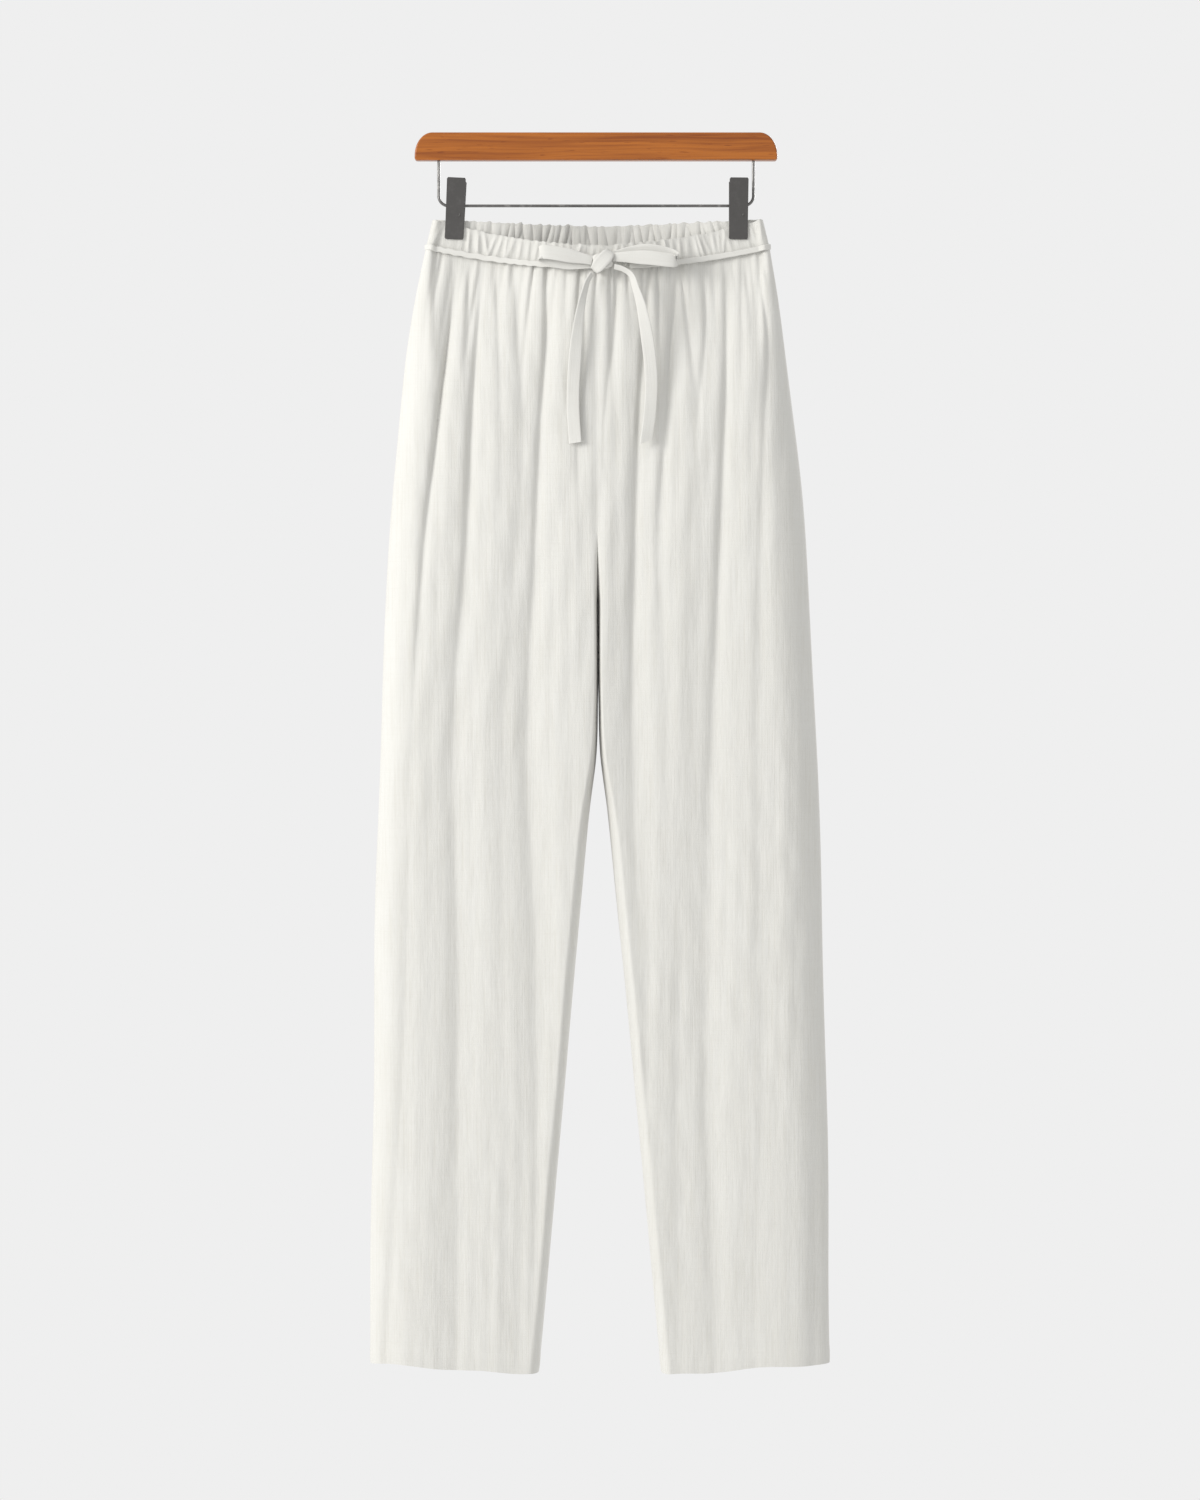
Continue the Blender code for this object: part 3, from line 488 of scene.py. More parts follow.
def panel_surface(columns, levels, side, leg, settings, hem=False):
    """Points of a leg panel's outer face, and their places on the flat cloth. columns run from the
    inner edge, 0, to the side seam, 1, and levels from the waist seam, 0, to the hem's top, 1, or
    with hem over the hem itself."""
    spread, level = np.meshgrid(columns, levels)
    x = 150.0 * spread  # a first guess: both edges slope, so x and the drop settle together
    for _ in range(5):
        top = waist_drop(x / BAND_FLARE, side, "seam")
        edge = hem_drop(leg * x)
        start = edge - HEM_DEPTH if hem else top
        drop = mix(start, edge if hem else edge - HEM_DEPTH, level)
        here = section(drop)
        inner = here.leg_gap
        outer = here.half_width + SIDE_WAVE * np.sin(drop / 47.0 + leg) * ease((drop - 150) / 150)
        x = mix(inner, outer, spread)
    below = drop - top
    filled = ease(below / FILL_OUT)
    out = mix(waist_out(x / BAND_FLARE, WAIST_OPEN[side]) + 1.0, here.depth, filled)
    out += SEAM_SWELL * ease((below - 2.0) / 22.0) * (1.0 - ease(below / 140.0))
    side_round = mix(SIDE_LOOP, SIDE_ROUND, filled)
    turned = np.clip((drop - CROTCH_DROP + CROTCH_CURVE) / CROTCH_CURVE, 0.0, 1.0)
    stands = np.sqrt(1.0 - turned**2)
    at_side = rounded(outer - x, side_round)
    inseam_round = mix(FORK_ROUND, INSEAM_ROUND, ease((drop - 500.0) / 160.0))
    at_inseam = mix(rounded(x - inner, inseam_round), 1.0, stands)
    folds = fold_surface(leg * x, drop, top, side, settings)
    folds += CENTRE_SEAM * stands * bump_row(x - inner, 4.5) * ease(below / 60.0)
    limit = 0.5 * out
    folds = limit * np.tanh(folds / limit)
    y = (out - folds) * at_side * at_inseam
    points = np.stack([leg * x + here.sway, side * y, -drop], 2)
    return points, np.stack([leg * x + 300.0 * side, drop], 2)


def column_shares(count):
    """Columns of a panel, closer together at its two edges."""
    share = np.linspace(0.0, 1.0, count)
    return mix(share, 0.5 - 0.5 * np.cos(math.pi * share), 0.55)


def own_side(points, side, leg=None):
    """Moves inner points that crossed a seam's plane back to their own side of it."""
    points = points.copy()
    points[..., 1] = side * np.maximum(side * points[..., 1], 0.0)
    if leg:
        middle = section(-points[..., 2]).sway
        points[..., 0] = middle + leg * np.maximum(leg * (points[..., 0] - middle), 0.0)
    return points


def ruching(across, height, side):
    """The waistband's close upright puckers, -1 to 1, over its elastic."""
    spin = np.random.default_rng(5 if side == FRONT else 11)
    total = np.zeros_like(across)
    place = -BAND_TOP_HALF
    while place < BAND_TOP_HALF:
        place += 3.6 + 5.2 * spin.random()
        slant = 13.0 * (spin.random() - 0.5)
        reach = 0.4 + 0.85 * spin.random()
        offset = across - place - slant * (height - 0.5)
        total += reach * bump_row(offset, 1.7 + 0.8 * spin.random(), 0.2 * (spin.random() - 0.5))
    return total - 0.45


def band_surface(across, height, side, out=0.0, puckers=2.2):
    """Points of the waistband's outer face. across runs over the top edge in millimetres, height from
    the seam, 0, to the top, 1, and out moves the face outwards."""
    away = BAND_TOP_HALF - np.abs(across)
    free = 1.0 - 0.88 * bump_row(np.abs(across) - 127.5, 12.5) ** 0.8
    stuffed = np.sin(math.pi * np.clip(0.12 + 0.8 * height, 0, 1))
    lift = puckers * ruching(across, height, side) * free * stuffed
    opening = WAIST_OPEN[side] - DRAWN_IN * height
    y = (waist_out(across, opening) + 1.1 + lift + out) * rounded(away, SIDE_LOOP + out)
    x = across * mix(BAND_FLARE, 1.0, height) + np.sign(across) * out * (1 - rounded(away, SIDE_LOOP))
    x = x + 0.35 * np.gradient(lift, axis=-1) if puckers else x
    frill = 0.55 * puckers * ruching(across + 2.0, height, side) * ease((height - 0.6) / 0.4) * free
    drop = mix(waist_drop(across, side, "seam"), waist_drop(across, side, "top"), height) - frill
    return np.stack([x + CENTRE_SWAY, side * y, -drop], -1)


# ---------------------------------------------------------------- tapes
def spine_of(rows, count):
    """Points along the smooth curve through a table of Turn rows, evenly spaced, and their turns."""
    keys = np.arange(len(rows))
    fine = np.linspace(0, len(rows) - 1, 40 * len(rows))
    curve = np.stack([through(keys, [row[k] for row in rows], fine) for k in range(4)], 1)
    points = np.stack([curve[:, 0], -curve[:, 1], -curve[:, 2]], 1)
    run = np.concatenate([[0.0], np.cumsum(np.linalg.norm(np.diff(points, axis=0), axis=1))])
    at = np.linspace(0.0, run[-1], count)
    even = np.stack([np.interp(at, run, points[:, k]) for k in range(3)], 1)
    return even, np.interp(at, run, curve[:, 3]), run[-1]


def tape_ring(width, thick, sides=18):
    """Cross-section of the pressed drawstring: flat faces, round edges and a step at its folded edge."""
    ring = []
    for k in range(sides):
        angle = 2 * math.pi * k / sides
        c, s = math.cos(angle), math.sin(angle)
        flat = math.copysign(abs(c) ** 0.35, c)
        body = math.copysign(abs(s) ** 0.8, s)
        ring.append((0.5 * width * flat, 0.5 * thick * body * (1.0 + 0.25 * (flat > 0.55))))
    return ring


def between_rings(first, rings, sides, closed=False):
    """Quads between rings of points that follow each other, and from the last to the first if closed."""
    quads = []
    for ring in range(rings if closed else rings - 1):
        after = (ring + 1) % rings
        for k in range(sides):
            n = (k + 1) % sides
            corners = ((ring, k), (ring, n), (after, n), (after, k))
            quads.append(tuple(first + sides * r + c for r, c in corners))
    return quads


def tape_piece(name, spine, width, thick, finish, nodes, tilt=None, taper=None, curl=0.0, point=0.0):
    """A pressed tape along a spine in millimetres. tilt turns it about its own length, taper scales its
    width, curl waves its edges and point cuts its last end on a slant."""
    spine = [Vector(place) for place in spine]
    count = len(spine)
    ring = tape_ring(width, thick)
    points, flat = [], []
    run = 0.0
    for i in range(count):
        ahead = (spine[min(i + 1, count - 1)] - spine[max(i - 1, 0)]).normalized()
        if tilt is None:
            across = Vector((0.0, 0.0, 1.0))
        else:
            level = ahead.cross(Vector((0, -1, 0))).normalized()
            across = Matrix.Rotation(math.radians(float(tilt[i])), 3, ahead) @ level
        facing = across.cross(ahead).normalized()
        across = ahead.cross(facing)
        if i:
            run += (spine[i] - spine[i - 1]).length
        scale = float(taper[i]) if taper is not None else 1.0
        for a, b in ring:
            wave = curl * math.sin(run / 3.1 + 1.3 * math.sin(run / 9.0)) * max(0.0, a / width)
            end = point * (a / width) * (i == count - 1)
            points.append(spine[i] + a * scale * across + (b + wave) * facing + end * ahead)
            flat.append((a, run))
    sides = len(ring)
    faces = [tuple(reversed(range(sides))), tuple(range(sides * (count - 1), sides * count))]
    faces += between_rings(0, count, sides)
    return mesh_piece(name, points, faces, finish, nodes, flat)


# ---------------------------------------------------------------- shader groups and finishes
def new_group(name, inputs):
    """A shader node group with named inputs, each (name, kind, default), and a finish's outputs."""
    group = bpy.data.node_groups.new(name, "ShaderNodeTree")
    for label, kind, default in inputs:
        socket = group.interface.new_socket(name=label, in_out="INPUT", socket_type=f"NodeSocket{kind}")
        if default is not None:
            socket.default_value = default
    for label, kind in (("Color", "Color"), ("Height", "Float"), ("Roughness", "Float")):
        group.interface.new_socket(name=label, in_out="OUTPUT", socket_type=f"NodeSocket{kind}")
    return group, group.nodes.new("NodeGroupInput"), group.nodes.new("NodeGroupOutput")


def finish_group(group, give, colour, height, roughness):
    for label, source in (("Color", colour), ("Height", height), ("Roughness", roughness)):
        group.links.new(source, give.inputs[label])
    return group


def node(tree, kind, links=(), **settings):
    """A node in a tree. links are (input, output socket or value) pairs."""
    made = tree.nodes.new(kind)
    for key, value in settings.items():
        setattr(made, key, value)
    for target, source in links:
        if isinstance(source, bpy.types.NodeSocket):
            tree.links.new(source, made.inputs[target])
        else:
            made.inputs[target].default_value = source
    return made


def maths(tree, operation, *terms):
    return node(tree, "ShaderNodeMath", list(enumerate(terms)), operation=operation).outputs[0]


def add(tree, a, b):
    return maths(tree, "ADD", a, b)


def times(tree, a, b):
    return maths(tree, "MULTIPLY", a, b)


def stretched(tree, vector, scale):
    return node(tree, "ShaderNodeVectorMath", [(0, vector), (1, scale)], operation="MULTIPLY").outputs[0]


def noise(tree, vector, detail=2.0, rough=0.5):
    return node(tree, "ShaderNodeTexNoise", [("Vector", vector), ("Scale", 1.0), ("Detail", detail),
                                             ("Roughness", rough)]).outputs["Fac"]


def colour_mix(tree, factor, a, b):
    mixer = node(tree, "ShaderNodeMix", data_type="RGBA")
    for socket, value in ((mixer.inputs[0], factor), (mixer.inputs[6], a), (mixer.inputs[7], b)):
        if isinstance(value, bpy.types.NodeSocket):
            tree.links.new(value, socket)
        else:
            socket.default_value = value
    return mixer.outputs[2]


def span(tree, value, low, high, to_low=0.0, to_high=1.0):
    return node(tree, "ShaderNodeMapRange", [("Value", value), ("From Min", low), ("From Max", high),
                                             ("To Min", to_low), ("To Max", to_high)]).outputs[0]


def linen_weave_group(name):
    """Plain weave with uneven slub threads. Its vector is the place on the flat cloth, in metres."""
    group, take, give = new_group(name, [
        ("Vector", "Vector", None), ("Linen", "Color", (0.8, 0.8, 0.75, 1)),
        ("Thread", "Color", (0.7, 0.68, 0.6, 1)), ("Slub", "Float", 1.0),
        ("Crumple", "Float", 1.0),
    ])
    vector = take.outputs["Vector"]
    warp = noise(group, stretched(group, vector, (760.0, 16.0, 1.0)), 3.0, 0.6)
    weft = noise(group, stretched(group, vector, (22.0, 900.0, 1.0)), 3.0, 0.6)
    cloud = noise(group, stretched(group, vector, (38.0, 14.0, 1.0)), 3.0, 0.55)
    creases = noise(group, stretched(group, vector, (95.0, 22.0, 1.0)), 4.0, 0.5)
    split = node(group, "ShaderNodeSeparateXYZ", [(0, vector)])
    over = maths(group, "SINE", times(group, split.outputs[0], 2 * math.pi * 1150.0))
    under = maths(group, "SINE", times(group, split.outputs[1], 2 * math.pi * 1050.0))
    plain = times(group, over, under)
    thick = span(group, warp, 0.47, 0.74)
    cross = span(group, weft, 0.50, 0.78)
    streak = add(group, times(group, thick, 0.62), times(group, cross, 0.30))
    tone = add(group, times(group, streak, take.outputs["Slub"]),
                 span(group, cloud, 0.35, 0.7, 0.0, 0.22))
    colour = colour_mix(group, times(group, tone, 0.9), take.outputs["Linen"], take.outputs["Thread"])
    height = add(group, times(group, plain, 0.07), times(group, warp, 0.34))
    height = add(group, height, times(group, weft, 0.20))
    soft = times(group, times(group, creases, 1.9), take.outputs["Crumple"])
    height = add(group, height, soft)
    return finish_group(group, give, colour, height, span(group, streak, 0.0, 1.0, 0.93, 0.80))


def grain_group(name):
    """Long grain with dark flecks, for varnished wood. Its vector is in metres, along X."""
    group, take, give = new_group(name, [
        ("Vector", "Vector", None), ("Wood", "Color", (0.45, 0.14, 0.035, 1)),
        ("Grain", "Color", (0.2, 0.05, 0.01, 1)),
    ])
    vector = take.outputs["Vector"]
    drift = noise(group, stretched(group, vector, (6.0, 60.0, 60.0)), 2.0)
    bent = node(group, "ShaderNodeVectorMath", [(0, vector), (1, node(
        group, "ShaderNodeCombineXYZ", [(2, times(group, drift, 0.012))]).outputs[0])],
        operation="ADD").outputs[0]
    lines = noise(group, stretched(group, bent, (9.0, 420.0, 520.0)), 4.0, 0.65)
    broad = noise(group, stretched(group, bent, (5.0, 70.0, 110.0)), 2.0)
    flecks = noise(group, stretched(group, bent, (55.0, 500.0, 700.0)), 1.0)
    dark = add(group, span(group, lines, 0.42, 0.68, 0.0, 0.6), span(group, broad, 0.42, 0.66, 0.0, 0.42))
    dark = add(group, dark, span(group, flecks, 0.67, 0.75, 0.0, 0.9))
    dark = maths(group, "MINIMUM", dark, 0.92)
    colour = colour_mix(group, dark, take.outputs["Wood"], take.outputs["Grain"])
    return finish_group(group, give, colour, lines, span(group, lines, 0.3, 0.8, 0.26, 0.40))


def worn_metal_group(name):
    """Fine marks and rubbed spots on steel. Its vector is in metres."""
    group, take, give = new_group(name, [
        ("Vector", "Vector", None), ("Coat", "Color", (0.1, 0.1, 0.1, 1)),
        ("Bare", "Color", (0.4, 0.4, 0.4, 1)), ("Wear", "Float", 0.5),
        ("Smooth", "Float", 0.3),
    ])
    vector = take.outputs["Vector"]
    marks = noise(group, stretched(group, vector, (700.0, 700.0, 90.0)), 3.0, 0.6)
    patches = noise(group, stretched(group, vector, (160.0, 160.0, 160.0)), 3.0, 0.6)
    rubbed = times(group, span(group, patches, 0.52, 0.78), take.outputs["Wear"])
    colour = colour_mix(group, rubbed, take.outputs["Coat"], take.outputs["Bare"])
    rough = add(group, take.outputs["Smooth"], span(group, marks, 0.3, 0.7, -0.05, 0.12))
    return finish_group(group, give, colour, marks, rough)


def kept_group(name, make_group):
    """The group of that name, made the first time it is asked for."""
    return bpy.data.node_groups.get(name) or make_group(name)


def finish_material(name, group, values, source, bump, metallic=0.0, **shader_values):
    """A Principled material fed by one of the groups, made the first time it is asked for."""
    found = bpy.data.materials.get(name)
    if found:
        return found
    made = bpy.data.materials.new(name)
    made.use_nodes = True
    tree = made.node_tree
    shader = tree.nodes["Principled BSDF"]
    shader.inputs["Metallic"].default_value = metallic
    for label, value in shader_values.items():
        shader.inputs[label.replace("_", " ").title().replace("Ior", "IOR")].default_value = value
    effect = node(tree, "ShaderNodeGroup", node_tree=group)
    for label, value in values.items():
        effect.inputs[label].default_value = value
    if source == "cloth":
        vector = node(tree, "ShaderNodeUVMap", uv_map="cloth").outputs[0]
    else:
        vector = node(tree, "ShaderNodeTexCoord").outputs["Object"]
    tree.links.new(vector, effect.inputs["Vector"])
    relief = node(tree, "ShaderNodeBump", [("Height", effect.outputs["Height"]), ("Strength", bump[0]),
                                           ("Distance", bump[1])])
    tree.links.new(effect.outputs["Color"], shader.inputs["Base Color"])
    tree.links.new(effect.outputs["Roughness"], shader.inputs["Roughness"])
    tree.links.new(relief.outputs[0], shader.inputs["Normal"])
    return made


def linen_finish(settings):
    return finish_material(
        "Linen", kept_group("Linen Weave", linen_weave_group),
        {"Linen": (*settings.linen, 1), "Thread": (*settings.linen_thread, 1), "Slub": 1.0, "Crumple": 1.0},
        "cloth", (0.55, 0.0012), sheen_weight=0.12, sheen_roughness=0.5)


def tape_finish(settings):
    return finish_material(
        "Drawstring Linen", kept_group("Linen Weave", linen_weave_group),
        {"Linen": (*settings.linen, 1), "Thread": (*settings.linen_thread, 1), "Slub": 0.7, "Crumple": 0.35},
        "cloth", (0.5, 0.001), sheen_weight=0.12, sheen_roughness=0.5)


def wood_finish(settings):
    return finish_material(
        "Varnished Wood", kept_group("Wood Grain", grain_group),
        {"Wood": (*settings.wood, 1), "Grain": (*settings.wood_dark, 1)},
        "solid", (0.12, 0.0006), specular_IOR_level=0.3, coat_weight=0.06, coat_roughness=0.2)


def steel_finish(settings):
    return finish_material(
        "Drawn Steel", kept_group("Worn Metal", worn_metal_group),
        {"Coat": (*settings.steel, 1), "Bare": (0.5, 0.49, 0.47, 1), "Wear": 0.5, "Smooth": 0.3},
        "solid", (0.1, 0.0003), 1.0)


def clip_finish(settings):
    return finish_material(
        "Coated Clip Steel", kept_group("Worn Metal", worn_metal_group),
        {"Coat": (*settings.clip, 1), "Bare": (0.17, 0.165, 0.16, 1), "Wear": 0.18, "Smooth": 0.45},
        "solid", (0.18, 0.0004), 0.55)


# ---------------------------------------------------------------- operators: the garment
class GARMENT_OT_leg_panels(bpy.types.Operator):
    """Hang the four leg panels from the waist seam"""

    bl_idname = "garment.leg_panels"
    bl_label = "Leg Panels"

    def execute(self, context):
        settings = context.scene.trousers
        finish = linen_finish(settings)
        columns, rows = PANEL_GRID
        levels = np.linspace(0.0, 1.0, rows) ** 1.25
        for side in (FRONT, BACK):
            for leg in (RIGHT, LEFT):
                name = f"leg_{SIDE_NAMES[side]}_{LEG_NAMES[leg]}"
                grid, flat = panel_surface(column_shares(columns), levels, side, leg, settings)
                piece = shell(
                    f"{name}_cloth", grid, settings.cloth / MM, -side * leg, finish, [name],
                    lambda inner, s=side, g=leg: own_side(inner, s, g), flat=flat)
        return {"FINISHED"}


class GARMENT_OT_hems(bpy.types.Operator):
    """Turn up the hem round the foot of each leg"""

    bl_idname = "garment.hems"
    bl_label = "Hems"

    def execute(self, context):
        settings = context.scene.trousers
        columns, rows = HEM_GRID
        levels = np.linspace(0.0, 1.0, rows)
        shares = column_shares(columns)
        for leg in (RIGHT, LEFT):
            front, flat_front = panel_surface(shares, levels, FRONT, leg, settings, hem=True)
            back, flat_back = panel_surface(shares[::-1][1:-1], levels, BACK, leg, settings, hem=True)
            grid = np.concatenate([front, back], 1)
            flat = np.concatenate([flat_front, flat_back], 1)
            puff = HEM_PUFF * np.sin(math.pi * levels)[:, None, None]
            grid = grid - leg * puff * grid_normals(grid, True)
            name = f"hem_{LEG_NAMES[leg]}"
            piece = shell(f"{name}_cloth", grid, 2 * settings.cloth / MM, leg, linen_finish(settings),
                          [name], closed=True, flat=flat)
        return {"FINISHED"}


class GARMENT_OT_waistband(bpy.types.Operator):
    """Ruche the waistband's front and back over the elastic"""

    bl_idname = "garment.waistband"
    bl_label = "Waistband"

    def execute(self, context):
        settings = context.scene.trousers
        columns, rows = BAND_GRID
        sweep = np.linspace(-1.0, 1.0, columns)
        sweep = mix(sweep, np.sin(0.5 * math.pi * sweep), 0.35) * BAND_TOP_HALF
        heights = np.linspace(1.0, 0.0, rows)
        across, height = np.meshgrid(sweep, heights)
        for side in (FRONT, BACK):
            grid = band_surface(across, height, side)
            flat = np.stack([2.0 * across, 26.0 * (1 - height) + 40.0 * side], 2)
            name = f"waistband_{SIDE_NAMES[side]}"
            piece = shell(
                f"{name}_cloth", grid, settings.band / MM, -side, linen_finish(settings), [name],
                lambda inner, s=side: own_side(inner, s), flat=flat)
        return {"FINISHED"}


class GARMENT_OT_waist_tape(bpy.types.Operator):
    """Lay the drawstring round the waist, over the seam"""

    bl_idname = "garment.waist_tape"
    bl_label = "Waist Drawstring"

    def execute(self, context):
        settings = context.scene.trousers
        runs = (("front_right", FRONT, -0.985, -0.06, 1.0), ("front_left", FRONT, 0.12, 0.985, 0.3),
                ("back", BACK, -0.985, 0.985, 0.6))
        for name, side, start, end, curl in runs:
            share = np.linspace(start, end, int(130 * (end - start)))
            curved = np.sin(0.5 * math.pi * share)
            across = BAND_TOP_HALF * np.where(np.abs(share) > 0.2, curved, 1.5451 * share)
            out = 2.5 - 1.9 * ease((np.abs(share) - 0.78) / 0.2)
            spine = band_surface(across, np.zeros_like(across), side, out, 0.0)
            spine[:, 2] += 0.35 * curl * np.sin(across / 1.7 + 2.0 * np.sin(across / 11.0))
            tape_piece(f"drawstring_{name}_tape", spine, WAIST_TAPE_WIDTH, WAIST_TAPE_THICK,
                       tape_finish(settings), [f"drawstring_{name}"], curl=0.6 * curl)
        return {"FINISHED"}


class GARMENT_OT_bow(bpy.types.Operator):
    """Tie the drawstring's bow, with its two loops and two hanging ends"""

    bl_idname = "garment.bow"
    bl_label = "Bow"

    def execute(self, context):
        settings = context.scene.trousers
        finish = tape_finish(settings)
        width = settings.tape / MM
        knot = self.tie_knot(width, finish)
        for side, rows, pieces in (("right", RIGHT_LOOP, [knot]), ("left", LEFT_LOOP, [])):
            spine, _, length = spine_of(rows, 90)
            share = np.linspace(0, 1, len(spine))
            taper = 0.7 + 0.36 * ease(np.minimum(share, 1 - share) / 0.25)
            loop = tape_piece(f"bow_loop_{side}_tape", spine, width, LOOP_THICK, finish,
                              [f"bow_loop_{side}"], taper=taper, curl=0.35)
        for side, rows, point in (("right", RIGHT_TAIL, 1.0), ("left", LEFT_TAIL, 9.0)):
            spine, turned, length = spine_of(rows, 120)
            share = np.linspace(0, 1, len(spine))
            taper = 0.5 + 0.44 * ease(share / 0.5)
            tail = tape_piece(f"drawstring_tail_{side}_tape", spine, width, TAIL_THICK, finish,
                              [f"drawstring_tail_{side}"], tilt=turned, taper=taper, curl=0.3, point=point)
        return {"FINISHED"}

    def tie_knot(self, width, finish):
        """The knot: a lump of crossed tape, with one turn wound over it on the slant."""
        downhill, level = Vector((-0.66, 0.0, -0.75)), Vector((0.75, 0.0, -0.66))
        points, flat = [], []
        rows, columns = 20, 40
        for r in range(rows + 1):
            polar = math.pi * r / rows
            for c in range(columns):
                turn = 2 * math.pi * c / columns
                direction = Vector((math.sin(polar) * math.cos(turn), math.sin(polar) * math.sin(turn),
                                    math.cos(polar)))
                boxy = sum(abs(a) ** 3 for a in direction) ** (-1 / 3)
                reach = 0.92 * boxy * (1.0 + 0.05 * math.sin(7 * polar + 2 * turn))
                points.append(KNOT_AT + Vector(reach * a * b for a, b in zip(direction, KNOT_HALF)))
                flat.append((10.0 * polar, 8.0 * turn))
        faces = [(a, d, c, b) for a, b, c, d in between_rings(0, rows + 1, columns)]
        start, around = len(points), 72
        ring = tape_ring(width, WRAP_THICK, 36)
        for k in range(around):
            turn = 2 * math.pi * k / around
            reach, front = math.cos(turn), math.copysign(abs(math.sin(turn)) ** 0.7, math.sin(turn))
            along = WRAP_LONG * reach * downhill + Vector((0.0, -WRAP_DEEP * front, 0.0))
            outwards = (reach / WRAP_LONG * downhill + Vector((0.0, -front / WRAP_DEEP, 0.0))).normalized()
            narrow = 1.0 - 0.3 * abs(reach) ** 3
            for a, b in ring:
                gathered = 0.5 * math.cos(1.4 * a + 0.8 * math.sin(turn)) * (1.0 - abs(a) / (0.5 * width))
                points.append(KNOT_AT + along + narrow * a * level + (b + gathered) * outwards)
                flat.append((a, 8.0 * turn))
        faces += between_rings(start, around, len(ring), closed=True)
        return mesh_piece("bow_knot_tape", points, faces, finish, ["bow_knot"], flat)


# ---------------------------------------------------------------- operators: the hanger
class HANGER_OT_bar(bpy.types.Operator):
    """Shape the varnished wooden bar"""

    bl_idname = "hanger.bar"
    bl_label = "Bar"

    def execute(self, context):
        settings = context.scene.hanger
        half = 0.5 * settings.bar_length / MM
        height = settings.bar_height / MM
        thick = settings.bar_thick / MM
        outline = [(half - 2.0, -height), (half - 0.5, -height + 0.5), (half, -height + 2.0)]
        end, rise = BAR_END_RISE
        outline += [(half - end + end * math.cos(a), -rise + rise * math.sin(a))
                    for a in np.linspace(0.0, 0.5 * math.pi, 22)]
        outline = outline + [(-x, z) for x, z in reversed(outline)]
        mesh = bpy.data.meshes.new("hanger_bar_wood")
        work = bmesh.new()
        ring = [work.verts.new((x * MM, -0.5 * thick * MM, z * MM)) for x, z in outline]
        face = work.faces.new(ring)
        moved = bmesh.ops.extrude_face_region(work, geom=[face])
        bmesh.ops.translate(work, vec=(0, thick * MM, 0),
                            verts=[v for v in moved["geom"] if isinstance(v, bmesh.types.BMVert)])
        bmesh.ops.recalc_face_normals(work, faces=work.faces)
        work.to_mesh(mesh)
        work.free()
        mesh.shade_smooth()
        mesh.materials.append(wood_finish(settings))
        bar = bpy.data.objects.new("hanger_bar_wood", mesh)
        eased = bar.modifiers.new("eased edges", "BEVEL")
        eased.width = 0.0022
        eased.segments = 5
        eased.limit_method = "ANGLE"
        eased.angle_limit = math.radians(50)
        eased.harden_normals = True
        put_in_scene(bar, "hanger_bar")
        return {"FINISHED"}


def wire_curve(name, path, diameter, finish, slot, *nodes):
    """A round wire along points in millimetres."""
    curve = bpy.data.curves.new(name, "CURVE")
    curve.dimensions = "3D"
    curve.bevel_depth = 0.5 * diameter
    curve.bevel_resolution = 5
    curve.use_fill_caps = True
    spline = curve.splines.new("POLY")
    spline.points.add(len(path) - 1)
    for point, place in zip(spline.points, path):
        point.co = (*(Vector(place) * MM), 1.0)
    spline.use_smooth = True
    curve.materials.append(finish)
    obj = bpy.data.objects.new(name, curve)
    return put_in_scene(obj, *nodes)


class HANGER_OT_wire(bpy.types.Operator):
    """Bend the wire that hangs from the bar and carries the clips"""

    bl_idname = "hanger.wire"
    bl_label = "Wire"

    def execute(self, context):
        settings = context.scene.hanger
        top = -settings.bar_height / MM + WIRE_IN_BAR
        path = [(-WIRE_HALF_SPAN, 0.0, top), (-WIRE_HALF_SPAN, 0.0, -BEND_TOP_DROP)]
        across, down = WIRE_HALF_SPAN - WIRE_BEND, -ROD_DROP + WIRE_BEND
        for sign in (RIGHT, LEFT):
            arc = [(sign * (across + WIRE_BEND * math.cos(a)), 0.0, down - WIRE_BEND * math.sin(a))
                   for a in np.linspace(0, 0.5 * math.pi, 14)]
            path += arc if sign == RIGHT else [(0.0, 0.0, -ROD_DROP), *arc[::-1]]
        path += [(WIRE_HALF_SPAN, 0.0, -BEND_TOP_DROP), (WIRE_HALF_SPAN, 0.0, top)]
        wire_curve("hanger_wire_steel", path, settings.wire, steel_finish(settings),
                   "wire_steel", "hanger_wire")
        return {"FINISHED"}


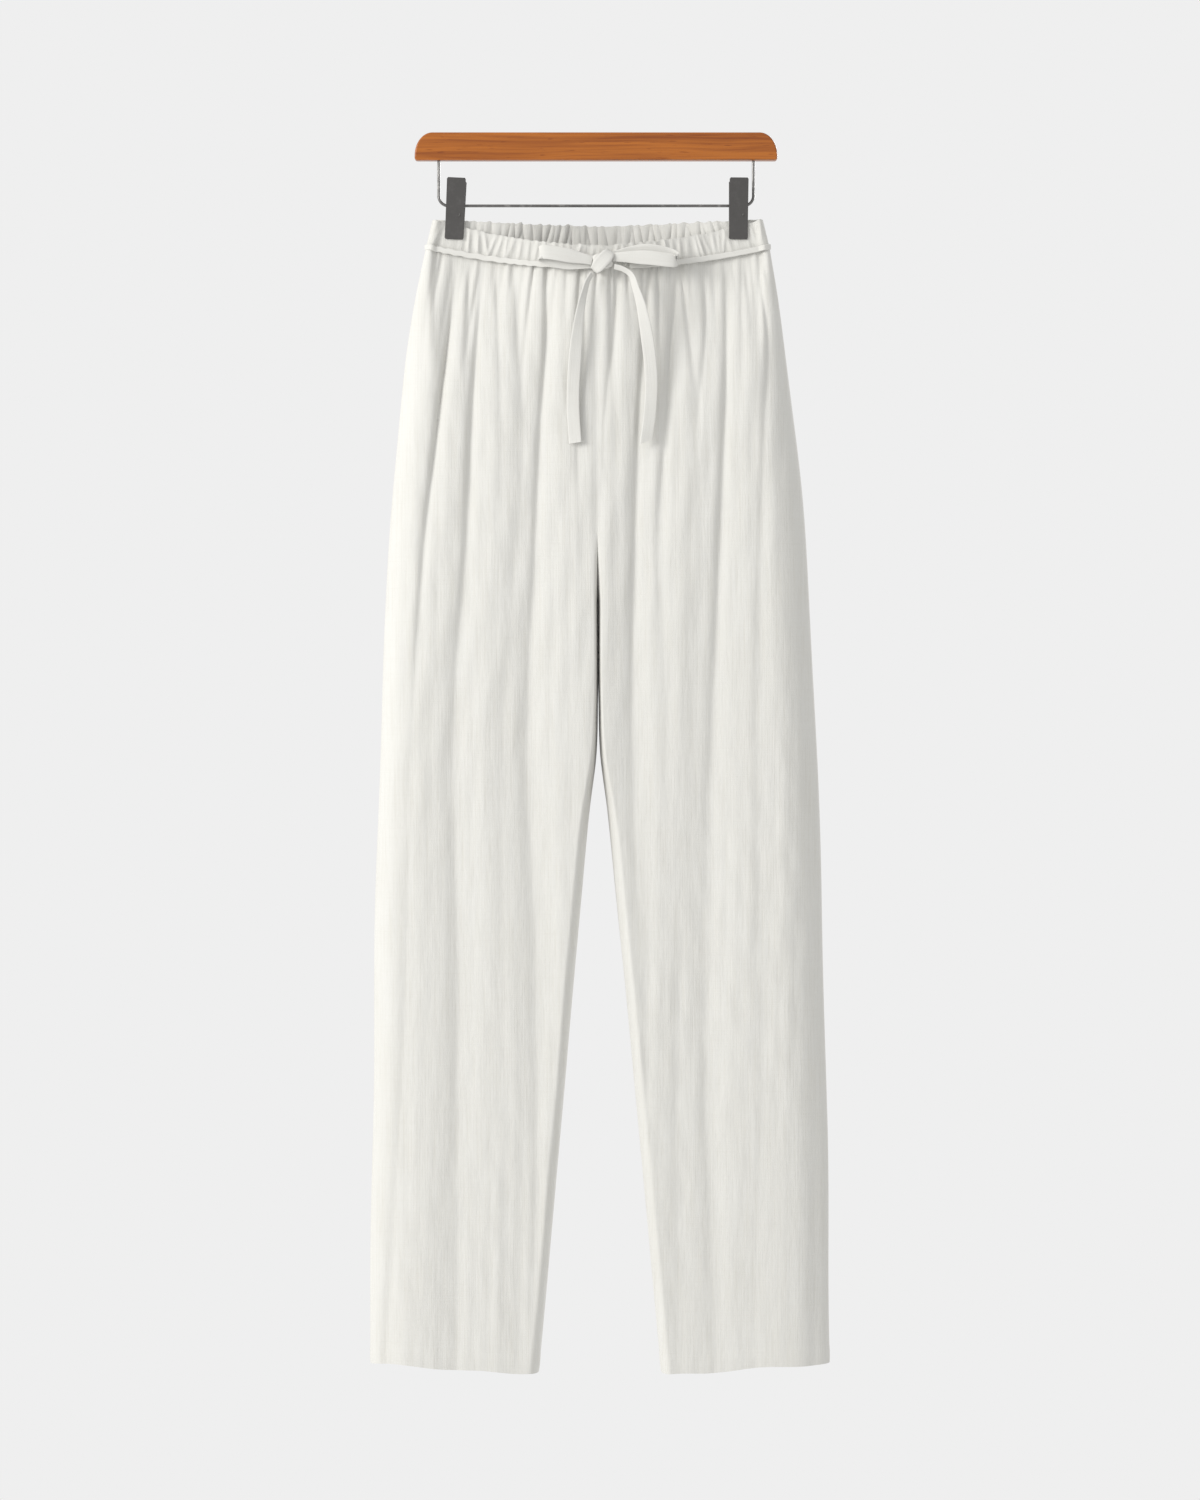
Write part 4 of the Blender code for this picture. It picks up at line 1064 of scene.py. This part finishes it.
class HANGER_OT_clips(bpy.types.Operator):
    """Hang the two spring clips on the rod"""

    bl_idname = "hanger.clips"
    bl_label = "Clips"

    def execute(self, context):
        settings = context.scene.hanger
        for where in ("right", "left"):
            lean = Matrix.Rotation(math.radians(CLIP_LEAN_DEG[where]), 4, "Y")
            place = Matrix.Translation(Vector((CLIP_AT[where], 0.0, -ROD_DROP)) * MM) @ lean
            for side in (FRONT, BACK):
                self.stamp_jaw(f"clip_{where}_{SIDE_NAMES[side]}_jaw", side, settings, place)
            self.wind_spring(f"clip_{where}_spring", settings, place)
        return {"FINISHED"}

    def stamp_jaw(self, name, side, settings, place):
        """One jaw: a bent plate with rounded corners, a rolled lip and two ears round the rod."""
        up = np.linspace(JAW_TOP, JAW_FOOT, 46)
        out = through([-bend.up for bend in JAW_BENDS], [bend.out for bend in JAW_BENDS], -up)
        out = out - 0.25 * bump_row(up + 28.8, 1.0) + 0.20 * bump_row(up - 12.0, 3.0)
        half = 0.5 * settings.clip_width / MM
        work = bmesh.new()
        columns = np.linspace(-1.0, 1.0, 15)
        layers = []
        for layer in (0.5 * JAW_PLATE, -0.5 * JAW_PLATE):
            rows = []
            for z, y in zip(up, out):
                short = JAW_CORNER - min(JAW_TOP - z, z - JAW_FOOT, JAW_CORNER)
                inset = JAW_CORNER - math.sqrt(max(JAW_CORNER**2 - short**2, 0.0))
                rows.append([work.verts.new(Vector(((half - inset) * c, side * (y + layer), z)) * MM)
                             for c in columns])
            layers.append(rows)
        for rows in layers:
            for r in range(len(rows) - 1):
                for c in range(len(columns) - 1):
                    work.faces.new((rows[r][c], rows[r][c + 1], rows[r + 1][c + 1], rows[r + 1][c]))
        first, second = layers
        for r in range(len(up) - 1):
            for c in (0, -1):
                work.faces.new((first[r][c], first[r + 1][c], second[r + 1][c], second[r][c]))
        for c in range(len(columns) - 1):
            for r in (0, -1):
                work.faces.new((first[r][c], first[r][c + 1], second[r][c + 1], second[r][c]))
        for sign in (RIGHT, LEFT):
            self.add_ear(work, side, sign * EAR_AT[side], sign * (EAR_AT[side] + JAW_PLATE))
        bmesh.ops.recalc_face_normals(work, faces=work.faces)
        bmesh.ops.transform(work, matrix=place, verts=work.verts)
        mesh = bpy.data.meshes.new(f"{name}_plate")
        work.to_mesh(mesh)
        work.free()
        mesh.shade_smooth()
        mesh.set_sharp_from_angle(angle=math.radians(35))
        mesh.materials.append(clip_finish(settings))
        jaw = bpy.data.objects.new(f"{name}_plate", mesh)
        eased = jaw.modifiers.new("pressed edges", "BEVEL")
        eased.width = 0.0003
        eased.segments = 2
        eased.limit_method = "ANGLE"
        eased.angle_limit = math.radians(60)
        put_in_scene(jaw, name)

    def add_ear(self, work, side, low, high):
        """A tab folded in from the plate, with a round end and a hole for the rod."""
        outer, inner = [], []
        steps = 24
        for k in range(steps):
            angle = 2 * math.pi * k / steps
            z = EAR_HALF * math.sin(angle)
            if math.cos(angle) > 0.0:
                y = 6.0 + 0.17 * z
            else:
                y = 0.5 * EAR_HALF * math.cos(angle) - 2.0
            outer.append((side * y, z))
            inner.append((side * EAR_HOLE * math.cos(angle), EAR_HOLE * math.sin(angle)))
        rings = []
        for x in (low, high):
            rings.append(([work.verts.new(Vector((x, y, z)) * MM) for y, z in outer],
                          [work.verts.new(Vector((x, y, z)) * MM) for y, z in inner]))
        (a, b), (c, d) = rings
        for k in range(steps):
            n = (k + 1) % steps
            work.faces.new((a[k], a[n], b[n], b[k]))
            work.faces.new((c[k], c[n], d[n], d[k]))
            work.faces.new((a[k], a[n], c[n], c[k]))
            work.faces.new((b[k], b[n], d[n], d[k]))

    def wind_spring(self, name, settings, place):
        """The coil round the rod, with a straight arm behind each jaw."""
        path = [(COIL_HALF, -5.6, -9.5), (COIL_HALF, -4.6, -5.0)]
        turns, steps = 5, 20
        for k in range(turns * steps + 1):
            angle = -0.5 * math.pi - 0.6 - 2 * math.pi * k / steps
            along = COIL_HALF - 2 * COIL_HALF * k / (turns * steps)
            path.append((along, COIL_RADIUS * math.cos(angle), COIL_RADIUS * math.sin(angle)))
        path += [(-COIL_HALF, 4.6, -5.0), (-COIL_HALF, 5.6, -9.5)]
        moved = [place @ (Vector(p) * MM) / MM for p in path]
        wire_curve(f"{name}_coil", moved, SPRING_WIRE, steel_finish(settings), "wire_steel", name)


# ---------------------------------------------------------------- operator: the stage
class TROUSERS_OT_stage(bpy.types.Operator):
    """Set up the pale floor, the soft studio light and the camera"""

    bl_idname = "trousers.stage"
    bl_label = "Stage"

    def execute(self, context):
        scene = context.scene
        world = bpy.data.worlds.new("Studio")
        scene.world = world
        world.use_nodes = True
        air = world.node_tree.nodes["Background"]
        air.inputs["Color"].default_value = (0.863, 0.863, 0.863, 1)
        air.inputs["Strength"].default_value = 1.0
        scene.view_settings.view_transform = "Standard"
        self.lay_floor(scene)
        self.add_light(scene, "Key", (-3.0, -2.1, 0.75), 1.8, 112.0)
        self.add_light(scene, "Back", (1.4, 3.4, 0.75), 1.4, 60.0)
        camera = bpy.data.objects.new("Camera", bpy.data.cameras.new("Camera"))
        camera.data.lens = 100.0
        camera.data.sensor_width = 36.0
        camera.location = CAMERA_AT
        camera.rotation_euler = (0.5 * math.pi, 0.0, 0.0)
        scene.collection.objects.link(camera)
        scene.camera = camera
        return {"FINISHED"}

    def lay_floor(self, scene):
        work = bmesh.new()
        bmesh.ops.create_circle(work, cap_ends=True, segments=96, radius=4.5)
        mesh = bpy.data.meshes.new("Floor")
        work.to_mesh(mesh)
        work.free()
        paint = bpy.data.materials.new("Pale Floor")
        paint.use_nodes = True
        shader = paint.node_tree.nodes["Principled BSDF"]
        shader.inputs["Base Color"].default_value = (0.80, 0.80, 0.795, 1)
        shader.inputs["Roughness"].default_value = 0.9
        mesh.materials.append(paint)
        floor = bpy.data.objects.new("Floor", mesh)
        floor.location = FLOOR_AT
        scene.collection.objects.link(floor)

    def add_light(self, scene, name, place, size, power):
        lamp = bpy.data.lights.new(name, "AREA")
        lamp.shape = "DISK"
        lamp.size = size
        lamp.energy = power
        lamp.color = WARM_WHITE
        light = bpy.data.objects.new(name, lamp)
        light.location = place
        light.rotation_euler = (Vector(LIT_AT) - Vector(place)).to_track_quat("-Z", "Y").to_euler()
        scene.collection.objects.link(light)


class TROUSERS_PT_pieces(bpy.types.Panel):
    """Lists the settings of the trousers and the hanger, and the operators"""

    bl_idname = "TROUSERS_PT_pieces"
    bl_label = "Linen Trousers"
    bl_space_type = "VIEW_3D"
    bl_region_type = "UI"
    bl_category = "Trousers"

    def draw(self, context):
        layout = self.layout
        for settings in (context.scene.trousers, context.scene.hanger):
            box = layout.box()
            for name in settings.__annotations__:
                box.prop(settings, name)
        for operator in STEPS:
            layout.operator(operator.bl_idname)


STEPS = (
    TROUSERS_OT_stage,
    GARMENT_OT_bow,
    GARMENT_OT_waist_tape,
    GARMENT_OT_leg_panels,
    GARMENT_OT_hems,
    GARMENT_OT_waistband,
    HANGER_OT_bar,
    HANGER_OT_wire,
    HANGER_OT_clips,
)
CLASSES = (TrouserSettings, HangerSettings, *STEPS, TROUSERS_PT_pieces)


def register():
    for cls in CLASSES:
        bpy.utils.register_class(cls)
    bpy.types.Scene.trousers = PointerProperty(type=TrouserSettings)
    bpy.types.Scene.hanger = PointerProperty(type=HangerSettings)


def unregister():
    del bpy.types.Scene.hanger
    del bpy.types.Scene.trousers
    for cls in reversed(CLASSES):
        bpy.utils.unregister_class(cls)


def main():
    register()
    for step in STEPS:
        area, name = step.bl_idname.split(".")
        getattr(getattr(bpy.ops, area), name)()


if __name__ == "__main__":
    main()
